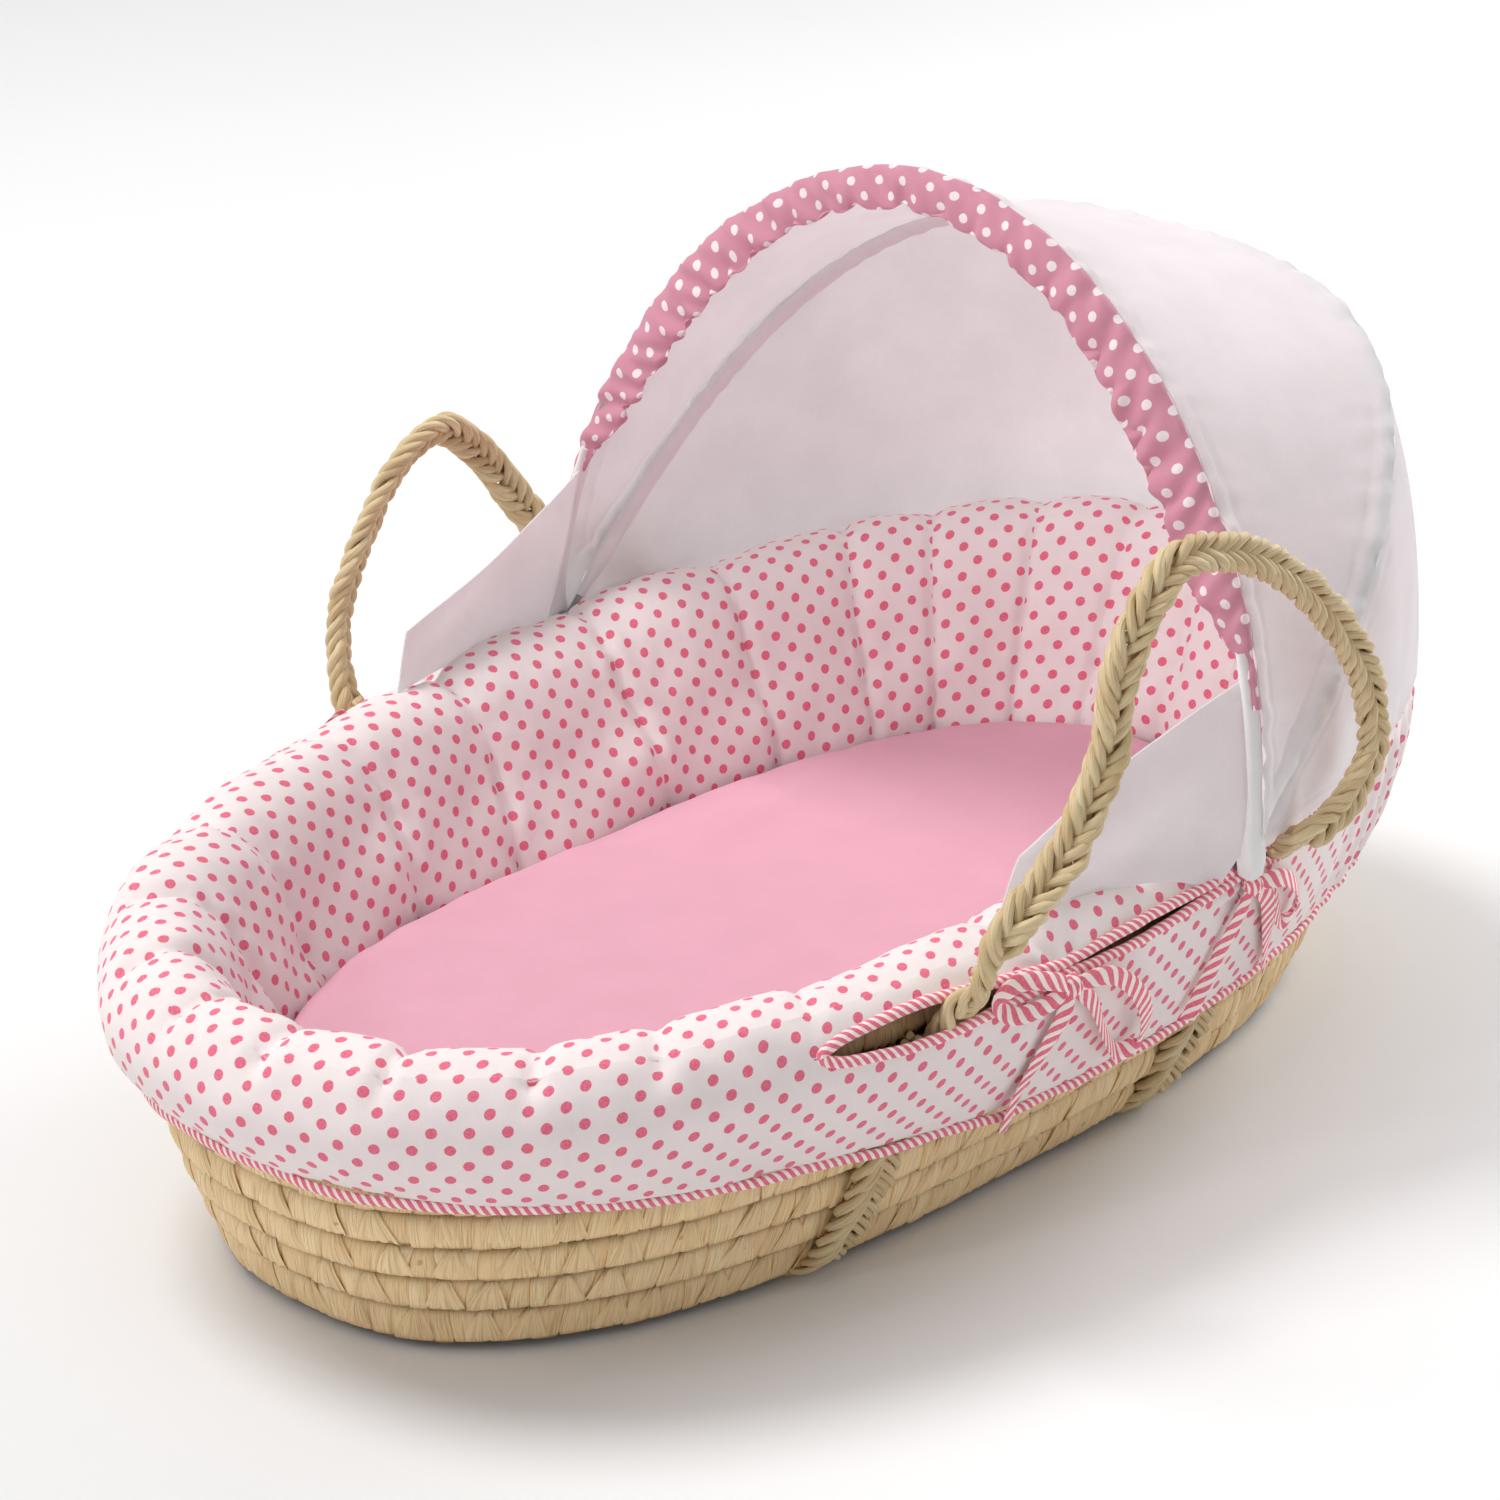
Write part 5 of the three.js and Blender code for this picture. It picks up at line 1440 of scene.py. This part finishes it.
def make_canopy_top():
    """White cotton stretched between the two hoops, with a stitched casing along each."""
    front, front_in, front_way, travelled = hoop_path(FRONT_HOOP, 0.006, CANOPY_COLUMNS)
    rear, rear_in, _, _ = hoop_path(REAR_HOOP, 0.006, CANOPY_COLUMNS)
    front_edge = front - front_in * 0.0035 - front_way * 0.0035
    rear_edge = rear - rear_in * OVER_WIRE
    grid, share = panel(front_edge, rear_edge, 46)
    width = np.linalg.norm(rear_edge - front_edge, axis=-1)[None, :]
    from_front, from_rear = share * width, (1 - share) * width
    inwards = unit(lerp(front_in, rear_in, 0.5))[None]
    sag = 0.030 * share * (1 - share) * np.clip(width / 0.18, 0, 1)
    stitch = 0.0010 * (hump(from_front - 0.013, STITCH_WIDTH) + hump(from_rear - 0.014, STITCH_WIDTH))
    puff = 0.0016 * (hump(from_front - 0.005, 0.005) + hump(from_rear - 0.006, 0.006))
    at = travelled[None, :] + 0 * share
    flat = np.stack(np.broadcast_arrays(at, from_front * PUCKER_DRAWN_OUT), -1)
    close = np.exp(-from_front / PUCKER_REACH) + np.exp(-from_rear / PUCKER_REACH)
    pucker = ripple(flat, PUCKER_SIZE, 85) * close
    soft = ripple(grid, 0.20, 86) * np.sin(np.pi * share)
    relief = sag + stitch - puff + 0.0011 * pucker + 0.0022 * soft
    grid = grid + inwards * (relief * np.clip(width / 0.03, 0, 1))[..., None]
    normals = -np.broadcast_to(inwards, grid.shape)
    piece = hood_cloth("canopy_top_cloth", "canopy_top", grid, normals, at, from_front + 0 * at)
    weights = np.broadcast_to(1 - share, grid.shape[:2])
    blend_by(piece, "hood_rear", "hood_front", (0.25, 0, 0.35), (0.10, 0, 0.45), weights)


def hood_hem(share):
    """The hood's lower edge, from one pivot round the head end to the other; share runs 0 to 1."""
    around = np.radians(lerp(-82, 82, share))
    return rim_point(PAD_RADIUS + 0.0045, 19, around)


def make_canopy_back():
    """White cotton from the rear hoop down over the padded head end, hemmed below."""
    rear, rear_in, _, travelled = hoop_path(REAR_HOOP, 0.008, CANOPY_COLUMNS)
    share_round = travelled / travelled[-1]
    dense = np.linspace(0, 1, 1500)
    hem_dense = hood_hem(dense)
    hem_travelled = lengths(hem_dense)
    hem_share = np.interp(share_round * hem_travelled[-1], hem_travelled, dense)
    hem = hood_hem(hem_share)
    top = rear - rear_in * OVER_WIRE
    grid, share = panel(top, hem, 44)
    width = np.linalg.norm(hem - top, axis=-1)[None, :]
    outwards = unit(grid - np.array([0.10, 0, 0.12]))
    from_top, from_hem = share * width, (1 - share) * width
    at = travelled[None, :] + 0 * share
    belly = 0.030 * share * (1 - share) * np.clip(width / 0.15, 0, 1)
    sides = np.abs(share_round - 0.5) * 2
    folds = np.sin(TAU * (at / 0.075 + 0.25 * ripple(grid, 0.2, 91)))
    folds = 0.0020 * folds * np.sin(np.pi * share) * smooth((sides - 0.35) / 0.4)[None, :]
    stitch = -0.0010 * (hump(from_top - 0.012, STITCH_WIDTH) + hump(from_hem - 0.011, 0.0013))
    flat = np.stack(np.broadcast_arrays(at, from_top * PUCKER_DRAWN_OUT), -1)
    close = np.exp(-from_top / PUCKER_REACH) + 0.7 * np.exp(-from_hem / 0.015)
    pucker = ripple(flat, PUCKER_SIZE, 92) * close
    soft = ripple(grid, 0.16, 93) * np.sin(np.pi * share)
    relief = belly + folds + stitch + 0.0006 * pucker + 0.0018 * soft
    grid = grid + outwards * (relief * np.clip(width / 0.03, 0, 1))[..., None]
    piece = hood_cloth("canopy_back_cloth", "canopy_back", grid, outwards, at, from_top + 0 * at)
    weights = np.broadcast_to(np.clip((0.86 - share) / 0.84, 0, 1), grid.shape[:2])
    blend_by(piece, "root", "hood_rear", (0.40, 0, 0.20), (0.30, 0, 0.40), weights)


def make_wing(side, label):
    """A small side cloth from the front hoop's leg forward to the padded rim."""
    leg = [turn_at(FRONT_HOOP, u) for u in (0.010, SLEEVE_START + 0.004)]
    leg = leg if side < 0 else [180 - t for t in leg]
    foot, top = hoop_point(FRONT_HOOP, np.array(leg))
    tip = np.array([-0.086, side * 0.2185, 0.2035])
    corner = np.array([-0.074, side * 0.2225, 0.2235])
    up = np.linspace(0, 1, 26)[:, None]
    along = np.linspace(0, 1, 46)[None, :]
    leg_edge, front_edge = lerp(foot, top, up[..., None]), lerp(tip, corner, up[..., None])
    grid = lerp(leg_edge, front_edge, along[..., None])
    x, y = grid[..., 0], np.abs(grid[..., 1])
    beside = np.clip((y - rim_half_width(x)) / PAD_RADIUS, -0.98, 0.98)
    over_roll = risen(RIM_HEIGHT, x) + (PAD_RADIUS + 0.0012) * np.sqrt(1 - beside**2)
    grid[..., 2] = lerp(grid[..., 2], over_roll, (1 - up) ** 2 * smooth(along / 0.15))
    flat = np.stack(np.broadcast_arrays(along * 0.15, up * 0.09 + along * 0.03), -1)
    middle = np.sin(np.pi * along)
    drag = np.sin(TAU * (up * 1.6 + along * 0.5))
    outwards = np.array([0, side, 0])
    relief = middle * (0.0012 * ripple(flat, 0.10, 95) + 0.0013 * drag - 0.005 * up)
    grid = grid + outwards * relief[..., None]
    shape = grid.shape[:2]
    u, v = np.broadcast_to(along * 0.16, shape), np.broadcast_to(up * 0.09, shape)
    normals = np.broadcast_to(outwards, grid.shape).astype(float)
    piece = hood_cloth(f"wing_cloth_{label}", f"wing_{label}", grid, normals, u, v)
    weights = np.broadcast_to(1 - along, shape)
    blend_by(piece, "hood_rear", "hood_front", tuple(tip), tuple(foot), weights)


make_sleeve()
make_leg_channels()
make_rear_channel()
make_canopy_top()
make_canopy_back()
for side, label in ((-1, "near"), (1, "far")):
    make_wing(side, label)

# ---- Stage ------------------------------------------------------------------------------------------


# Round lights: name, place, aim, size and power.
AREA_LIGHTS = [
    ("overhead", (-1.0, 1.7, 4.2), (0, 0, 0.1), 2.0, 118),
    ("foot_side", (-3.0, 1.2, 2.6), (0.2, 0, 0.3), 2.2, 18),
    ("head_side", (3.2, -0.5, 1.8), (0.2, 0, 0.3), 2.2, 72),
]
WORLD_STRENGTH = 0.45
FLOOR_REACH = 30


def place_light(data, place, aim, power):
    data.energy = power
    light = bpy.data.objects.new(data.name, data)
    light.location = place
    light.rotation_euler = (Vector(aim) - Vector(place)).to_track_quat("-Z", "Y").to_euler()
    bpy.context.collection.objects.link(light)


def area_light(name, place, aim, size, power):
    data = bpy.data.lights.new(name, "AREA")
    data.shape = "DISK"
    data.size = size
    place_light(data, place, aim, power)


def spot_light(name, place, aim, size, spread, power):
    data = bpy.data.lights.new(name, "SPOT")
    data.shadow_soft_size = size
    data.spot_size = math.radians(spread)
    data.spot_blend = 1.0
    place_light(data, place, aim, power)


def make_stage():
    shader = Shader("pale_floor", 0.6)
    speckle = shader.noise(shader.position(), 3.0)
    base = shader.mix(speckle, colour(243, 243, 243), colour(240, 240, 240))
    points = [(x * FLOOR_REACH, y * FLOOR_REACH, 0) for x, y in ((-1, -1), (1, -1), (1, 1), (-1, 1))]
    floor = mesh_object("floor", points, [(0, 1, 2, 3)], shader.finish(base))
    world = bpy.data.worlds.new("studio")
    world.use_nodes = True
    background = world.node_tree.nodes["Background"]
    background.inputs["Color"].default_value = (1, 1, 1, 1)
    background.inputs["Strength"].default_value = WORLD_STRENGTH
    bpy.context.scene.world = world
    for light in AREA_LIGHTS:
        area_light(*light)
    spot_light("hood_fill", (-2.9, 0.1, 1.9), (0.26, 0, 0.27), 0.35, 13, 200)
    settings = bpy.context.scene.view_settings
    settings.view_transform = "Standard"
    settings.look = "None"
    settings.exposure = 0.0


make_stage()
